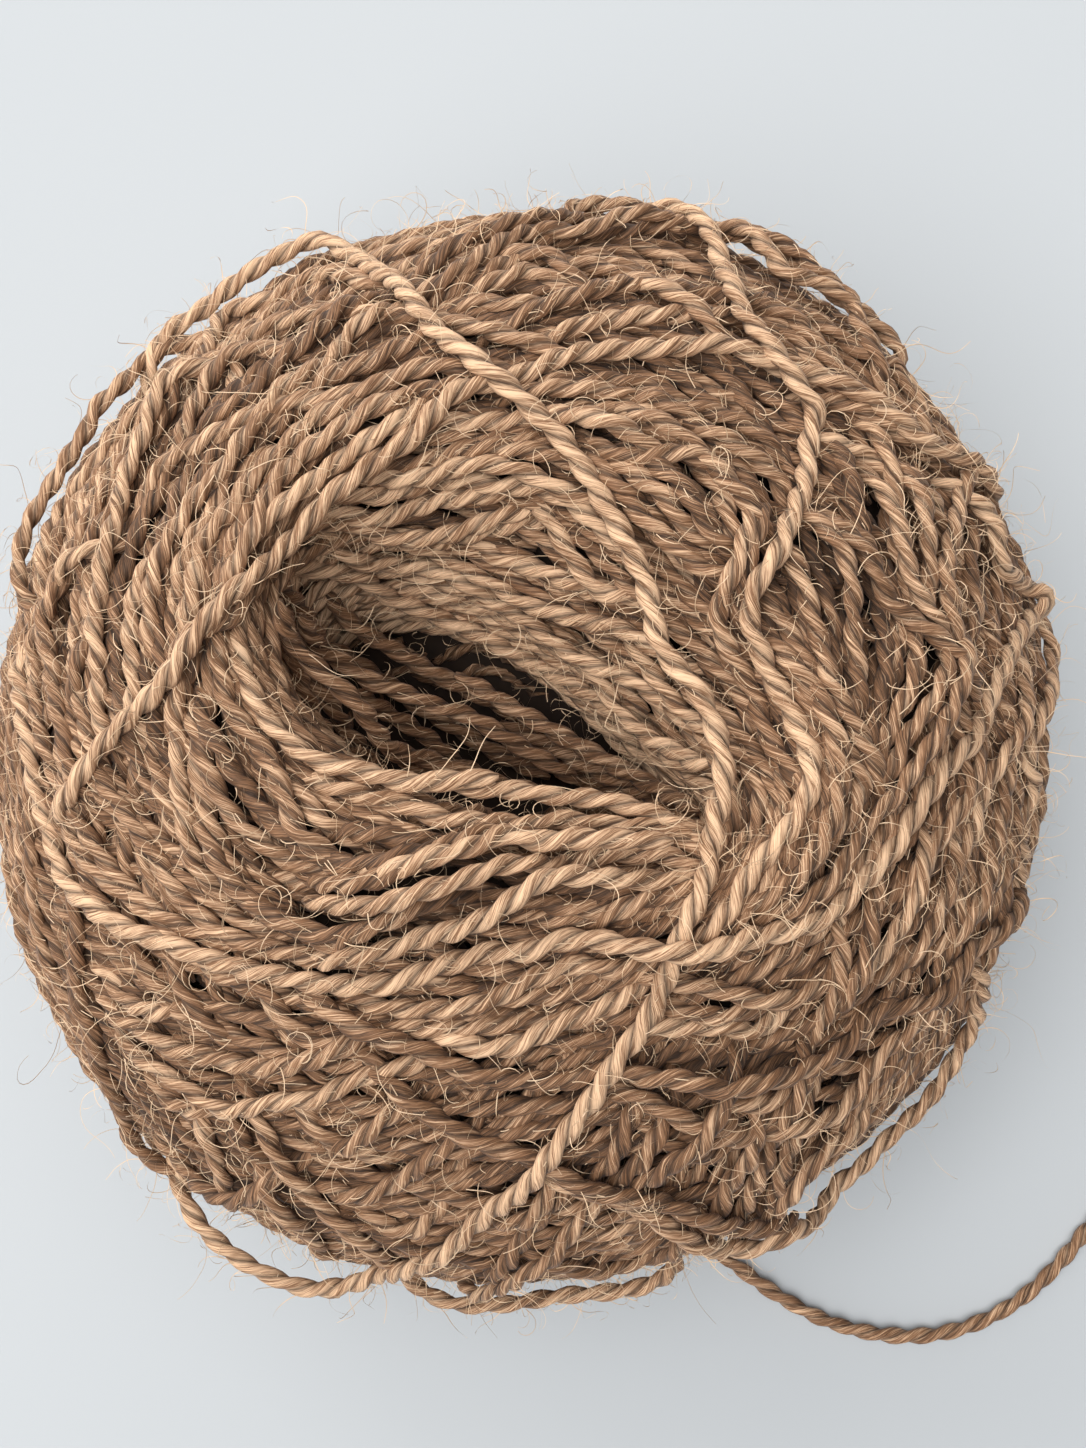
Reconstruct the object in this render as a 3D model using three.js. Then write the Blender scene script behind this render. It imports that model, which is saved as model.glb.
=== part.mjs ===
// A ball of fingering yarn with its free end lying beside it.
// Millimetres, +Z up. The origin is the middle of the flat spot that the ball rests on,
// and +X runs along the slit of the centre hollow.

import * as THREE from 'three';
import * as BufferGeometryUtils from 'three/addons/utils/BufferGeometryUtils.js';

// Driving dimensions

const YARN_DIAMETER = 1.6;
const BALL_COLUMNS = 100;
const BALL_RINGS = 54;
const FREE_END_SIDES = 8;
const FREE_END_STEPS = 34;

// The wound form, from its foot up over the rim and down into the hollow.
// latitude counts degrees on the winding sphere that the turns are laid out on. length and
// width are half sizes along X and Y, shift moves a section along Y, and taper makes it
// narrower towards +X.
const SECTIONS = [
  { at: 'foot middle', latitude: -90, z: 0, length: 0, width: 0, shift: 0, taper: 0 },
  { at: 'foot edge', latitude: -76, z: 0, length: 15, width: 16, shift: 0, taper: 0 },
  { at: 'heel', latitude: -60, z: 3.6, length: 29, width: 30, shift: 0, taper: 0 },
  { at: 'low flank', latitude: -45, z: 9.6, length: 37, width: 38.5, shift: 0, taper: 0 },
  { at: 'flank', latitude: -24, z: 19.6, length: 42.6, width: 44.4, shift: 0, taper: 0 },
  { at: 'girth', latitude: 0, z: 31, length: 44.4, width: 46.2, shift: 0, taper: 0 },
  { at: 'high flank', latitude: 20, z: 43, length: 41.6, width: 43.2, shift: 0, taper: 0 },
  { at: 'shoulder', latitude: 35, z: 52.6, length: 36, width: 36.5, shift: 0.5, taper: 0.03 },
  { at: 'crown', latitude: 47, z: 59.4, length: 28.5, width: 26.5, shift: 1, taper: 0.06 },
  { at: 'rim', latitude: 57, z: 62.6, length: 22.5, width: 17, shift: 1.4, taper: 0.12 },
  { at: 'lip', latitude: 66, z: 58.6, length: 19, width: 10.4, shift: 0, taper: 0.2 },
  { at: 'throat', latitude: 75, z: 48, length: 17, width: 7.2, shift: -3, taper: 0.2 },
  { at: 'well', latitude: 84, z: 36, length: 14.5, width: 6.2, shift: -4.4, taper: 0.15 },
  { at: 'hollow floor', latitude: 90, z: 31, length: 0, width: 0, shift: -4.4, taper: 0 },
];

// The bundles of turns, in the order in which they were wound, each on the ones before.
// A bundle follows a circle on the winding sphere: bearing and tilt give the circle's pole,
// counted from +X and from +Z, and radius its size, all in degrees. copies are spread evenly
// round the ball, turns lie side by side in each, and rise is their height in millimetres.
const BUNDLES = [
  { laid: 'over the foot', copies: 3, bearing: 12, tilt: 112, radius: 67, turns: 5, rise: 1.8 },
  { laid: 'round the heel', copies: 2, bearing: 40, tilt: 10, radius: 137, turns: 5, rise: 1.8 },
  { laid: 'flank to rim', copies: 4, bearing: 5, tilt: 50, radius: 86, turns: 5, rise: 1.8 },
  { laid: 'low flank', copies: 2, bearing: 70, tilt: 22, radius: 108, turns: 5, rise: 2 },
  { laid: 'steep flank', copies: 3, bearing: 31, tilt: 37, radius: 84, turns: 5, rise: 2.1 },
  { laid: 'flat flank', copies: 2, bearing: 100, tilt: 24, radius: 88, turns: 4.5, rise: 2.1 },
  { laid: 'left shoulder', copies: 1, bearing: 19, tilt: 19, radius: 75, turns: 5, rise: 2.1 },
  { laid: 'lower flank', copies: 1, bearing: 131, tilt: 20, radius: 68, turns: 5, rise: 2.1 },
  { laid: 'high shoulder', copies: 1, bearing: -69, tilt: 21, radius: 62, turns: 5, rise: 2.1 },
  { laid: 'near crown', copies: 1, bearing: 140, tilt: 14, radius: 51, turns: 4.5, rise: 2 },
  { laid: 'right crown', copies: 1, bearing: 144, tilt: 10, radius: 42, turns: 4.5, rise: 2 },
  { laid: 'far crown', copies: 1, bearing: -80, tilt: 7, radius: 38, turns: 4.5, rise: 2 },
  { laid: 'near lip', copies: 1, bearing: 179, tilt: 7, radius: 33, turns: 4, rise: 1.7 },
  { laid: 'far lip', copies: 1, bearing: 106, tilt: 3, radius: 27, turns: 4, rise: 1.4 },
  { laid: 'well wall', copies: 1, bearing: 0, tilt: 0, radius: 20, turns: 4, rise: 1.3 },
  { laid: 'long turn', copies: 1, bearing: 133, tilt: 36, radius: 73, turns: 3, rise: 1.6 },
];
// How much of the height below a bundle still shows on top of it.
const SHOWS_THROUGH = 0.2;
// Between these latitudes the bundles die out towards the flat foot and into the well.
const FOOT_FADE = { none: -74, full: -62 };
const WELL_FADE = { full: 66, least: 84 };
const WELL_SHARE = 0.35;
// Degrees to each side over which a surface direction is measured.
const MEASURE_STEP = 0.4;

// The free end's middle line: off the underside of the ball, down to the surface that the
// ball rests on, and round in one loose curve.
const FREE_END_ROUTE = [
  [21.0, -22.9, 2.9],
  [25.0, -24.9, 1.9],
  [29.0, -26.6, 1.05],
  [34.0, -28.3, 0.85],
  [39.0, -29.4, 0.85],
  [44.0, -30.0, 0.85],
  [49.0, -30.2, 0.85],
  [54.0, -29.7, 0.85],
  [58.8, -28.1, 0.85],
  [63.0, -25.6, 0.85],
  [66.4, -22.2, 0.85],
  [69.0, -17.8, 0.85],
  [70.5, -13.0, 0.85],
  [71.4, -8.0, 0.85],
  [72.4, -3.0, 0.85],
  [74.0, 1.6, 0.85],
  [76.4, 5.6, 0.85],
];

const girth = SECTIONS.find((section) => section.at === 'girth');
const degreesPerTurn = THREE.MathUtils.radToDeg((2 * YARN_DIAMETER) / (girth.length + girth.width));

// The slope of a column at a row: the harmonic mean of the slopes on both sides, and zero
// where the column turns back.
function slopeAt(row, column) {
  const slopes = [row - 1, row]
    .filter((start) => start >= 0 && start < SECTIONS.length - 1)
    .map((start) => {
      const from = SECTIONS[start];
      const to = SECTIONS[start + 1];
      return (to[column] - from[column]) / (to.latitude - from.latitude);
    });
  const [before, after = before] = slopes;
  return before * after > 0 ? (2 * before * after) / (before + after) : 0;
}

// A column of the sections at any latitude, without overshoot between the rows.
function sectionValue(latitude, column) {
  const above = SECTIONS.findIndex((section) => section.latitude >= latitude);
  const row = Math.max(above, 1) - 1;
  const from = SECTIONS[row];
  const to = SECTIONS[row + 1];
  const span = to.latitude - from.latitude;
  const t = (latitude - from.latitude) / span;
  const near = (1 + 2 * t) * (1 - t) ** 2 * from[column] + t * (1 - t) ** 2 * span * slopeAt(row, column);
  const far = t ** 2 * (3 - 2 * t) * to[column] - t ** 2 * (1 - t) * span * slopeAt(row + 1, column);
  return near + far;
}

// A point of the bare form at a bearing round the ball and a latitude, both in degrees.
function formPoint(bearing, latitude) {
  const angle = THREE.MathUtils.degToRad(bearing);
  const narrowing = 1 - sectionValue(latitude, 'taper') * Math.cos(angle);
  return new THREE.Vector3(
    sectionValue(latitude, 'length') * Math.cos(angle),
    sectionValue(latitude, 'shift') + sectionValue(latitude, 'width') * narrowing * Math.sin(angle),
    sectionValue(latitude, 'z'),
  );
}

// The direction that faces out of the bare form there.
function formNormal(bearing, latitude) {
  const low = Math.max(latitude - MEASURE_STEP, -90);
  const high = Math.min(latitude + MEASURE_STEP, 90);
  const along = formPoint(bearing + MEASURE_STEP, latitude).sub(formPoint(bearing - MEASURE_STEP, latitude));
  const up = formPoint(bearing, high).sub(formPoint(bearing, low));
  return along.cross(up).normalize();
}

// A point on the winding sphere, which also stands for a direction.
function spherePoint(bearing, fromTop) {
  return new THREE.Vector3().setFromSphericalCoords(
    1,
    THREE.MathUtils.degToRad(fromTop),
    THREE.MathUtils.degToRad(bearing + 90),
  ).applyAxisAngle(new THREE.Vector3(1, 0, 0), Math.PI / 2);
}

// Each circle that a bundle follows, with the half width of its turns in degrees.
function bundleCircles() {
  return BUNDLES.flatMap(({ copies, bearing, tilt, radius, turns, rise }) =>
    Array.from({ length: copies }, (_, copy) => ({
      pole: spherePoint(bearing + (copy * 360) / copies, tilt),
      radius,
      halfWidth: (turns * degreesPerTurn) / 2,
      rise,
    })),
  );
}

// The height of the bundles over the bare form, for a point on the winding sphere.
function bundleHeight(direction, latitude, circles) {
  let height = 0;
  for (const { pole, radius, halfWidth, rise } of circles) {
    const offCentre = Math.abs(THREE.MathUtils.radToDeg(direction.angleTo(pole)) - radius);
    const profile = Math.max(1 - (offCentre / halfWidth) ** 2, 0);
    height = Math.max(height, SHOWS_THROUGH * height + rise * profile);
  }
  const offFoot = THREE.MathUtils.smoothstep(latitude, FOOT_FADE.none, FOOT_FADE.full);
  const intoWell = THREE.MathUtils.smoothstep(latitude, WELL_FADE.full, WELL_FADE.least);
  return height * offFoot * THREE.MathUtils.lerp(1, WELL_SHARE, intoWell);
}

// A sphere whose points are moved to the wound form and raised along its bundles.
function ballGeometry() {
  const sphere = new THREE.SphereGeometry(1, BALL_COLUMNS, BALL_RINGS);
  sphere.rotateX(Math.PI / 2);
  sphere.deleteAttribute('normal');
  sphere.deleteAttribute('uv');
  const geometry = BufferGeometryUtils.mergeVertices(sphere);
  const circles = bundleCircles();
  const position = geometry.attributes.position;
  const direction = new THREE.Vector3();
  for (let i = 0; i < position.count; i += 1) {
    direction.fromBufferAttribute(position, i).normalize();
    const latitude = THREE.MathUtils.radToDeg(Math.asin(direction.z));
    const bearing = THREE.MathUtils.radToDeg(Math.atan2(direction.y, direction.x));
    const height = bundleHeight(direction, latitude, circles);
    const point = formPoint(bearing, latitude).addScaledVector(formNormal(bearing, latitude), height);
    position.setXYZ(i, point.x, point.y, point.z);
  }
  geometry.computeVertexNormals();
  return geometry;
}

function freeEndGeometry() {
  const section = new THREE.Shape(
    Array.from({ length: FREE_END_SIDES }, (_, side) =>
      new THREE.Vector2(YARN_DIAMETER / 2, 0).rotateAround(new THREE.Vector2(), (side * 2 * Math.PI) / FREE_END_SIDES),
    ),
  );
  const route = new THREE.CatmullRomCurve3(FREE_END_ROUTE.map((point) => new THREE.Vector3(...point)));
  return new THREE.ExtrudeGeometry(section, {
    steps: FREE_END_STEPS,
    extrudePath: route,
    bevelEnabled: false,
  });
}

const yarn = new THREE.MeshStandardMaterial({ color: 0xa07f67, roughness: 0.9, metalness: 0 });

const ball = new THREE.Mesh(ballGeometry(), yarn);
ball.name = 'ball';

const freeEnd = new THREE.Mesh(freeEndGeometry(), yarn);
freeEnd.name = 'loose_end';

const object = new THREE.Group();
object.add(ball, freeEnd);

export default object;
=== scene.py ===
import math

import bpy
import numpy as np
from mathutils import Matrix, Vector, bvhtree, kdtree
from mathutils.interpolate import poly_3d_calc


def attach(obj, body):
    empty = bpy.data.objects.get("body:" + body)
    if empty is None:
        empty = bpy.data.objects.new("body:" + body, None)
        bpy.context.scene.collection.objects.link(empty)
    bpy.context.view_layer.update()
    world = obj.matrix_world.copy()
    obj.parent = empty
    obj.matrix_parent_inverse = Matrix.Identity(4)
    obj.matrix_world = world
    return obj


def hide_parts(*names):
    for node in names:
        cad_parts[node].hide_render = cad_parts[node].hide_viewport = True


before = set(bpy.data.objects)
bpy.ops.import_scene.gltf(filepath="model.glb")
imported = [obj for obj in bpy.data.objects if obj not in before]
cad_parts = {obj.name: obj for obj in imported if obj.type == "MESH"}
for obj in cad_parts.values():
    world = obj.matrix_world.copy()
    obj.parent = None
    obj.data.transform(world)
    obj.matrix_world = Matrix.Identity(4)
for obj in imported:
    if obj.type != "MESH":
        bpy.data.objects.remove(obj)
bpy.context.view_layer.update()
scene = bpy.context.scene
draw = np.random.default_rng(11)
MM = 0.001

# The camera stands over the near flank of the ball and looks almost straight down on it.
# Its distance comes from the yarn, which looks half as thick again on top of the ball as
# on the surface below.
PICTURE_HEIGHT = 1448
FOCAL_PIXELS = 1924
SENSOR = 36.0
CAMERA_HEIGHT = 0.198
CAMERA_BEARING = math.radians(32)
CAMERA_TILT = math.radians(9)
CAMERA_RIGHT = 0.0018
CAMERA_NEARER = 0.0252

to_right = Vector((math.cos(CAMERA_BEARING), math.sin(CAMERA_BEARING), 0))
away = Vector((-math.sin(CAMERA_BEARING), math.cos(CAMERA_BEARING), 0))
above = Vector((0, 0, 1))
looking = away * math.sin(CAMERA_TILT) - above * math.cos(CAMERA_TILT)
picture_up = away * math.cos(CAMERA_TILT) + above * math.sin(CAMERA_TILT)
camera = bpy.data.objects.new("camera", bpy.data.cameras.new("camera"))
camera.data.sensor_width = SENSOR
camera.data.lens = FOCAL_PIXELS / PICTURE_HEIGHT * SENSOR
camera.data.clip_start = 0.01
camera.matrix_world = Matrix.Translation(
    to_right * CAMERA_RIGHT - away * CAMERA_NEARER + above * CAMERA_HEIGHT
) @ Matrix((to_right, picture_up, -looking)).transposed().to_4x4()
scene.collection.objects.link(camera)
scene.camera = camera

# The yarn is two plies of coarse tan bast fibre, plied to the left. Its fibres run almost
# straight along the strand, over plies that bulge and leave a deep groove between them.
YARN = 0.0016
TWIST_LENGTH = 3.4 * YARN
PLY_OFFSET = 0.38
PLY_RADIUS = 0.64
SECTION_ANGLES = np.radians([-90, -58, -20, 20, 58, 90, 122, 160, 200, 238])
PLAIN_ANGLES = np.radians([-90, -48, 0, 48, 90, 132, 180, 228])
ROUGH_ANGLES = np.radians([-90, -30, 30, 90, 150, 210])
RING_STEP = 0.0007
TWIST_WANDER = (0.030, 0.10)
WIDTH_WANDER = (0.022, 0.05)
END_TAPER = 0.0022
END_WIDTH = 0.3
FIRST_TURNS = 60
FIBRE_TWIST = 0.88
PLY_TONE = 0.35
WAVES = ((0.55, 1.0), (0.3, 0.53), (0.25, 0.31))
WAVE_STRETCH = (0.85, 1.2)
CURVE_POINTS = 24


def unit(vectors):
    return vectors / np.maximum(np.linalg.norm(vectors, axis=-1, keepdims=True), 1e-12)


def blended(values, weights):
    """Each value with its neighbours, by an odd number of weights. The ends are held."""
    half = len(weights) // 2
    return np.convolve(np.pad(values, half, mode="edge"), weights, mode="valid")


def ring_faces(index):
    """The faces between rows of points, where each row closes into a ring."""
    right = np.roll(index, -1, axis=1)
    return np.stack((index[:-1], right[:-1], right[1:], index[1:]), -1).reshape(-1, 4)


def slow_noise(along, wavelength, size):
    """An uneven wave along a strand, about as far as size to either side."""
    total = np.zeros_like(along)
    for share, stretch in WAVES:
        phase = draw.uniform(0, 2 * math.pi)
        stretch *= draw.uniform(*WAVE_STRETCH)
        total += share * np.sin(2 * math.pi * along / (wavelength * stretch) + phase)
    return total * size


def lengths_along(line):
    steps = np.linalg.norm(np.diff(line, axis=0), axis=1)
    return np.concatenate(([0.0], np.cumsum(steps)))


def smooth_line(points, step):
    """A centripetal curve through given points, cut into equal steps."""
    p = np.asarray(points, float)
    p = np.vstack((2 * p[0] - p[1], p, 2 * p[-1] - p[-2]))
    gaps = np.sqrt(np.linalg.norm(np.diff(p, axis=0), axis=1))
    pieces = []
    for i in range(1, len(p) - 2):
        before, here, after = gaps[i - 1], gaps[i], gaps[i + 1]
        start, end = p[i], p[i + 1]
        leave = (start - p[i - 1]) / before - (end - p[i - 1]) / (before + here)
        leave = (leave + (end - start) / here) * here
        arrive = (end - start) / here - (p[i + 2] - start) / (here + after)
        arrive = (arrive + (p[i + 2] - end) / after) * here
        t = np.linspace(0, 1, CURVE_POINTS, endpoint=False)[:, None]
        pieces.append(
            (2 * t**3 - 3 * t**2 + 1) * start + (t**3 - 2 * t**2 + t) * leave
            + (3 * t**2 - 2 * t**3) * end + (t**3 - t**2) * arrive
        )
    pieces.append(p[-2][None])
    line = np.vstack(pieces)
    return evenly(line, step, line)[0]


def evenly(line, step, *others):
    """Values given along a line, read again at equal steps of its length."""
    along = lengths_along(line)
    count = max(int(round(along[-1] / step)), 2)
    wanted = np.linspace(0, along[-1], count + 1)
    return [
        np.stack([np.interp(wanted, along, column) for column in np.asarray(values).T], 1)
        for values in others
    ]


class YarnMesh:
    """Strands gathered into one mesh, with what the fibre material reads at each point."""

    def __init__(self):
        self.points, self.quads, self.caps = [], [], []
        self.fibre, self.tone, self.groove = [], [], []
        self.count = 0

    def add(self, line, up, tone, offset, thickness=1.0, flatness=0.92,
            step=RING_STEP, corners=SECTION_ANGLES, taper=True):
        """Twists two plies round a line. up is its outer side, and the third argument sets how
        light it is at each point: its own variation together with painted light and shade.
        """
        line, up, tone = evenly(line, step, line, up, tone[:, None])
        along = lengths_along(line)
        forward = unit(np.gradient(line, axis=0))
        up = unit(up - forward * np.sum(up * forward, axis=1, keepdims=True))
        side = np.cross(forward, up)
        pace = 1 + slow_noise(along, *TWIST_WANDER)
        twist = offset[0] * FIRST_TURNS - 2 * math.pi * np.concatenate(
            ([0.0], np.cumsum(np.diff(along) / TWIST_LENGTH * pace[1:]))
        )
        width = YARN / 2 * thickness * (1 + slow_noise(along, *WIDTH_WANDER))
        if taper:
            to_end = np.minimum(along, along[-1] - along)
            fullness = np.sqrt(np.clip(to_end / END_TAPER, 0, 1))
            width = width * (END_WIDTH + (1 - END_WIDTH) * fullness)
        from_ply = (corners + math.pi / 2) % math.pi - math.pi / 2
        reach = PLY_OFFSET * np.cos(from_ply) + np.sqrt(
            PLY_RADIUS**2 - (PLY_OFFSET * np.sin(from_ply)) ** 2
        )
        angle = corners[None, :] + twist[:, None]
        radius = width[:, None] * reach[None, :]
        ring = (
            line[:, None, :]
            + (radius * np.cos(angle) * flatness)[..., None] * up[:, None, :]
            + (radius * np.sin(angle))[..., None] * side[:, None, :]
        )
        rings, sides = angle.shape
        index = np.arange(rings * sides).reshape(rings, sides) + self.count
        self.points.append(ring.reshape(-1, 3))
        self.quads.append(ring_faces(index))
        self.caps.append(index[0][::-1])
        self.caps.append(index[-1])
        fibre_angle = angle - twist[:, None] * FIBRE_TWIST
        fibre = np.stack(
            (
                reach * np.cos(fibre_angle) + offset[0],
                reach * np.sin(fibre_angle) + offset[1],
                np.broadcast_to(along[:, None] / YARN + offset[2], angle.shape),
            ),
            -1,
        )
        self.fibre.append(fibre.reshape(-1, 3))
        ply_tone = np.where(np.cos(corners) > 0, draw.uniform(-0.5, 0.5), draw.uniform(-0.5, 0.5))
        self.tone.append((tone + PLY_TONE * ply_tone[None, :]).ravel())
        depth = (1 - reach) / (1 - reach.min())
        self.groove.append(np.broadcast_to(depth, angle.shape).ravel())
        self.count += rings * sides

    def build(self, name):
        mesh = bpy.data.meshes.new(name)
        points = np.concatenate(self.points)
        quads = np.concatenate(self.quads)
        corners = np.concatenate((quads.ravel(), *self.caps)).astype(np.int32)
        sizes = np.concatenate((np.full(len(quads), 4), [len(cap) for cap in self.caps]))
        starts = np.concatenate(([0], np.cumsum(sizes)[:-1])).astype(np.int32)
        mesh.vertices.add(len(points))
        mesh.vertices.foreach_set("co", points.astype(np.float32).ravel())
        mesh.loops.add(len(corners))
        mesh.loops.foreach_set("vertex_index", corners)
        mesh.polygons.add(len(sizes))
        mesh.polygons.foreach_set("loop_start", starts)
        mesh.update(calc_edges=True)
        mesh.polygons.foreach_set("use_smooth", np.ones(len(sizes), bool))
        vector = mesh.attributes.new("fibre", "FLOAT_VECTOR", "POINT")
        vector.data.foreach_set("vector", np.concatenate(self.fibre).astype(np.float32).ravel())
        for label, values in (("tone", self.tone), ("groove", self.groove)):
            attribute = mesh.attributes.new(label, "FLOAT", "POINT")
            attribute.data.foreach_set("value", np.concatenate(values).astype(np.float32))
        mesh.update()
        piece = bpy.data.objects.new(name, mesh)
        scene.collection.objects.link(piece)
        return piece


# Scale across the strand, scale along it and detail of the noise.
FINE_FIBRES = (12.0, 0.075, 3)
COARSE_FIBRES = (3.2, 0.12, 2)
PATCHES = (0.9, 0.25, 2)
FINE_SHARE = 0.6
STREAK_CONTRAST = 3.3
STREAK_SHIFT = -1.13
PATCH_CONTRAST = 0.8
TONE_SHARE = 0.30
# How narrow and how strong the painted shade in the groove between the plies is.
GROOVE_NARROWNESS = 2.0
GROOVE_SHARE = 0.80
DRYNESS = 0.82
FIBRE_SHINE = 0.35


def fibre_group():
    """Streaks, colour and relief of bast fibres that run along a strand. The colour also carries
    each strand's painted light and shade, and painted shade in the groove between the plies.
    """
    group = bpy.data.node_groups.new("bast fibres", "ShaderNodeTree")
    face = group.interface
    inputs = (
        ("Along Strand", "NodeSocketVector"),
        ("Tone And Painted Shading", "NodeSocketFloat"),
        ("Groove", "NodeSocketFloat"),
        ("Dark Fibre", "NodeSocketColor"),
        ("Mid Fibre", "NodeSocketColor"),
        ("Light Fibre", "NodeSocketColor"),
        ("Painted Groove Shade", "NodeSocketColor"),
    )
    for label, kind in inputs:
        face.new_socket(label, in_out="INPUT", socket_type=kind)
    outputs = (
        ("Color", "NodeSocketColor"),
        ("Height", "NodeSocketFloat"),
        ("Roughness", "NodeSocketFloat"),
    )
    for label, kind in outputs:
        face.new_socket(label, in_out="OUTPUT", socket_type=kind)
    nodes, links = group.nodes, group.links
    entry = nodes.new("NodeGroupInput")
    leave = nodes.new("NodeGroupOutput")

    def noise(scale, stretch, detail):
        squeeze = nodes.new("ShaderNodeVectorMath")
        squeeze.operation = "MULTIPLY"
        squeeze.inputs[1].default_value = (1, 1, stretch)
        links.new(entry.outputs["Along Strand"], squeeze.inputs[0])
        texture = nodes.new("ShaderNodeTexNoise")
        texture.inputs["Scale"].default_value = scale
        texture.inputs["Detail"].default_value = detail
        links.new(squeeze.outputs[0], texture.inputs["Vector"])
        return texture.outputs["Fac"]

    def math_node(operation, *values, clamp=False):
        node = nodes.new("ShaderNodeMath")
        node.operation = operation
        node.use_clamp = clamp
        for socket, value in zip(node.inputs, values):
            if isinstance(value, (int, float)):
                socket.default_value = value
            else:
                links.new(value, socket)
        return node.outputs[0]

    def mix(factor, low, high):
        node = nodes.new("ShaderNodeMix")
        node.data_type = "RGBA"
        links.new(factor, node.inputs["Factor"])
        links.new(low, node.inputs["A"])
        links.new(high, node.inputs["B"])
        return node.outputs["Result"]

    fine, coarse, patches = noise(*FINE_FIBRES), noise(*COARSE_FIBRES), noise(*PATCHES)
    most = math_node("MULTIPLY", fine, FINE_SHARE)
    streak = math_node("ADD", most, math_node("MULTIPLY", coarse, 1 - FINE_SHARE))
    spread = math_node("MULTIPLY_ADD", streak, STREAK_CONTRAST, STREAK_SHIFT, clamp=True)
    # Painted light and shade: each strand's lightness shifts its colour.
    shade = math_node("ADD", spread, math_node("MULTIPLY", entry.outputs["Tone And Painted Shading"], TONE_SHARE))
    patch = math_node("MULTIPLY_ADD", patches, PATCH_CONTRAST, -PATCH_CONTRAST / 2)
    shade = math_node("ADD", shade, patch)
    low = math_node("MULTIPLY", shade, 2.0, clamp=True)
    high = math_node("MULTIPLY_ADD", shade, 2.0, -1.0, clamp=True)
    darker = mix(low, entry.outputs["Dark Fibre"], entry.outputs["Mid Fibre"])
    body = mix(high, darker, entry.outputs["Light Fibre"])
    # Painted shade: the colour darkens towards the bottom of the groove between the plies.
    sunk = math_node("POWER", entry.outputs["Groove"], GROOVE_NARROWNESS)
    sunk = math_node("MULTIPLY", sunk, GROOVE_SHARE, clamp=True)
    links.new(mix(sunk, body, entry.outputs["Painted Groove Shade"]), leave.inputs["Color"])
    links.new(streak, leave.inputs["Height"])
    rough = math_node("MULTIPLY_ADD", fine, -FIBRE_SHINE, DRYNESS)
    links.new(rough, leave.inputs["Roughness"])
    return group


bast_fibres = fibre_group()
FIBRE_DARK = (0.050, 0.023, 0.010)
FIBRE_MID = (0.232, 0.112, 0.052)
FIBRE_LIGHT = (0.74, 0.485, 0.300)
# Painted shade for the bottom of the groove between the plies.
PAINTED_GROOVE_SHADE = (0.015, 0.007, 0.003)
FIBRE_RELIEF = 0.00012
RELIEF_STRENGTH = 0.9
SPECULAR = 0.32
SHEEN = 0.05
SHEEN_ROUGHNESS = 0.5


def yarn_material():
    material = bpy.data.materials.new("tan two-ply yarn")
    material.use_nodes = True
    nodes, links = material.node_tree.nodes, material.node_tree.links
    shader = nodes["Principled BSDF"]
    group = nodes.new("ShaderNodeGroup")
    group.node_tree = bast_fibres
    readings = (
        ("Along Strand", "fibre", "Vector"),
        ("Tone And Painted Shading", "tone", "Fac"),
        ("Groove", "groove", "Fac"),
    )
    for socket, label, output in readings:
        reader = nodes.new("ShaderNodeAttribute")
        reader.attribute_name = label
        links.new(reader.outputs[output], group.inputs[socket])
    group.inputs["Dark Fibre"].default_value = (*FIBRE_DARK, 1)
    group.inputs["Mid Fibre"].default_value = (*FIBRE_MID, 1)
    group.inputs["Light Fibre"].default_value = (*FIBRE_LIGHT, 1)
    group.inputs["Painted Groove Shade"].default_value = (*PAINTED_GROOVE_SHADE, 1)
    bump = nodes.new("ShaderNodeBump")
    bump.inputs["Strength"].default_value = RELIEF_STRENGTH
    bump.inputs["Distance"].default_value = FIBRE_RELIEF
    links.new(group.outputs["Height"], bump.inputs["Height"])
    links.new(group.outputs["Color"], shader.inputs["Base Color"])
    links.new(group.outputs["Roughness"], shader.inputs["Roughness"])
    links.new(bump.outputs["Normal"], shader.inputs["Normal"])
    shader.inputs["Specular IOR Level"].default_value = SPECULAR
    shader.inputs["Sheen Weight"].default_value = SHEEN
    shader.inputs["Sheen Roughness"].default_value = SHEEN_ROUGHNESS
    return material


yarn_finish = yarn_material()


def smooth_piece(name, points, faces):
    mesh = bpy.data.meshes.new(name)
    mesh.from_pydata(points.tolist(), [], faces)
    mesh.polygons.foreach_set("use_smooth", np.ones(len(mesh.polygons), bool))
    piece = bpy.data.objects.new(name, mesh)
    scene.collection.objects.link(piece)
    return piece


def finish_piece(piece, material, *nodes):
    """Gives a piece its material, hangs it under the root body and hides the model parts it
    replaces.
    """
    piece.data.materials.append(material)
    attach(piece, "root")
    if nodes:
        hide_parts(*nodes)
    return piece


# The loose end is the last of the same yarn. It comes off the underside of the ball, lies on
# the surface in one loose curve, and ends bare where it was cut.
LOOSE_END_ROUTE = [
    (0.0210, -0.0229, 0.0029),
    (0.0250, -0.0249, 0.0019),
    (0.0290, -0.0266, 0.00105),
    (0.0340, -0.0283, 0.00085),
    (0.0390, -0.0294, 0.00085),
    (0.0440, -0.0300, 0.00085),
    (0.0490, -0.0302, 0.00085),
    (0.0540, -0.0297, 0.00085),
    (0.0588, -0.0281, 0.00085),
    (0.0630, -0.0256, 0.00085),
    (0.0664, -0.0222, 0.00085),
    (0.0690, -0.0178, 0.00085),
    (0.0705, -0.0130, 0.00085),
    (0.0714, -0.0080, 0.00085),
    (0.0724, -0.0030, 0.00085),
    (0.0740, 0.0016, 0.00085),
    (0.0764, 0.0056, 0.00085),
]

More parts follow.
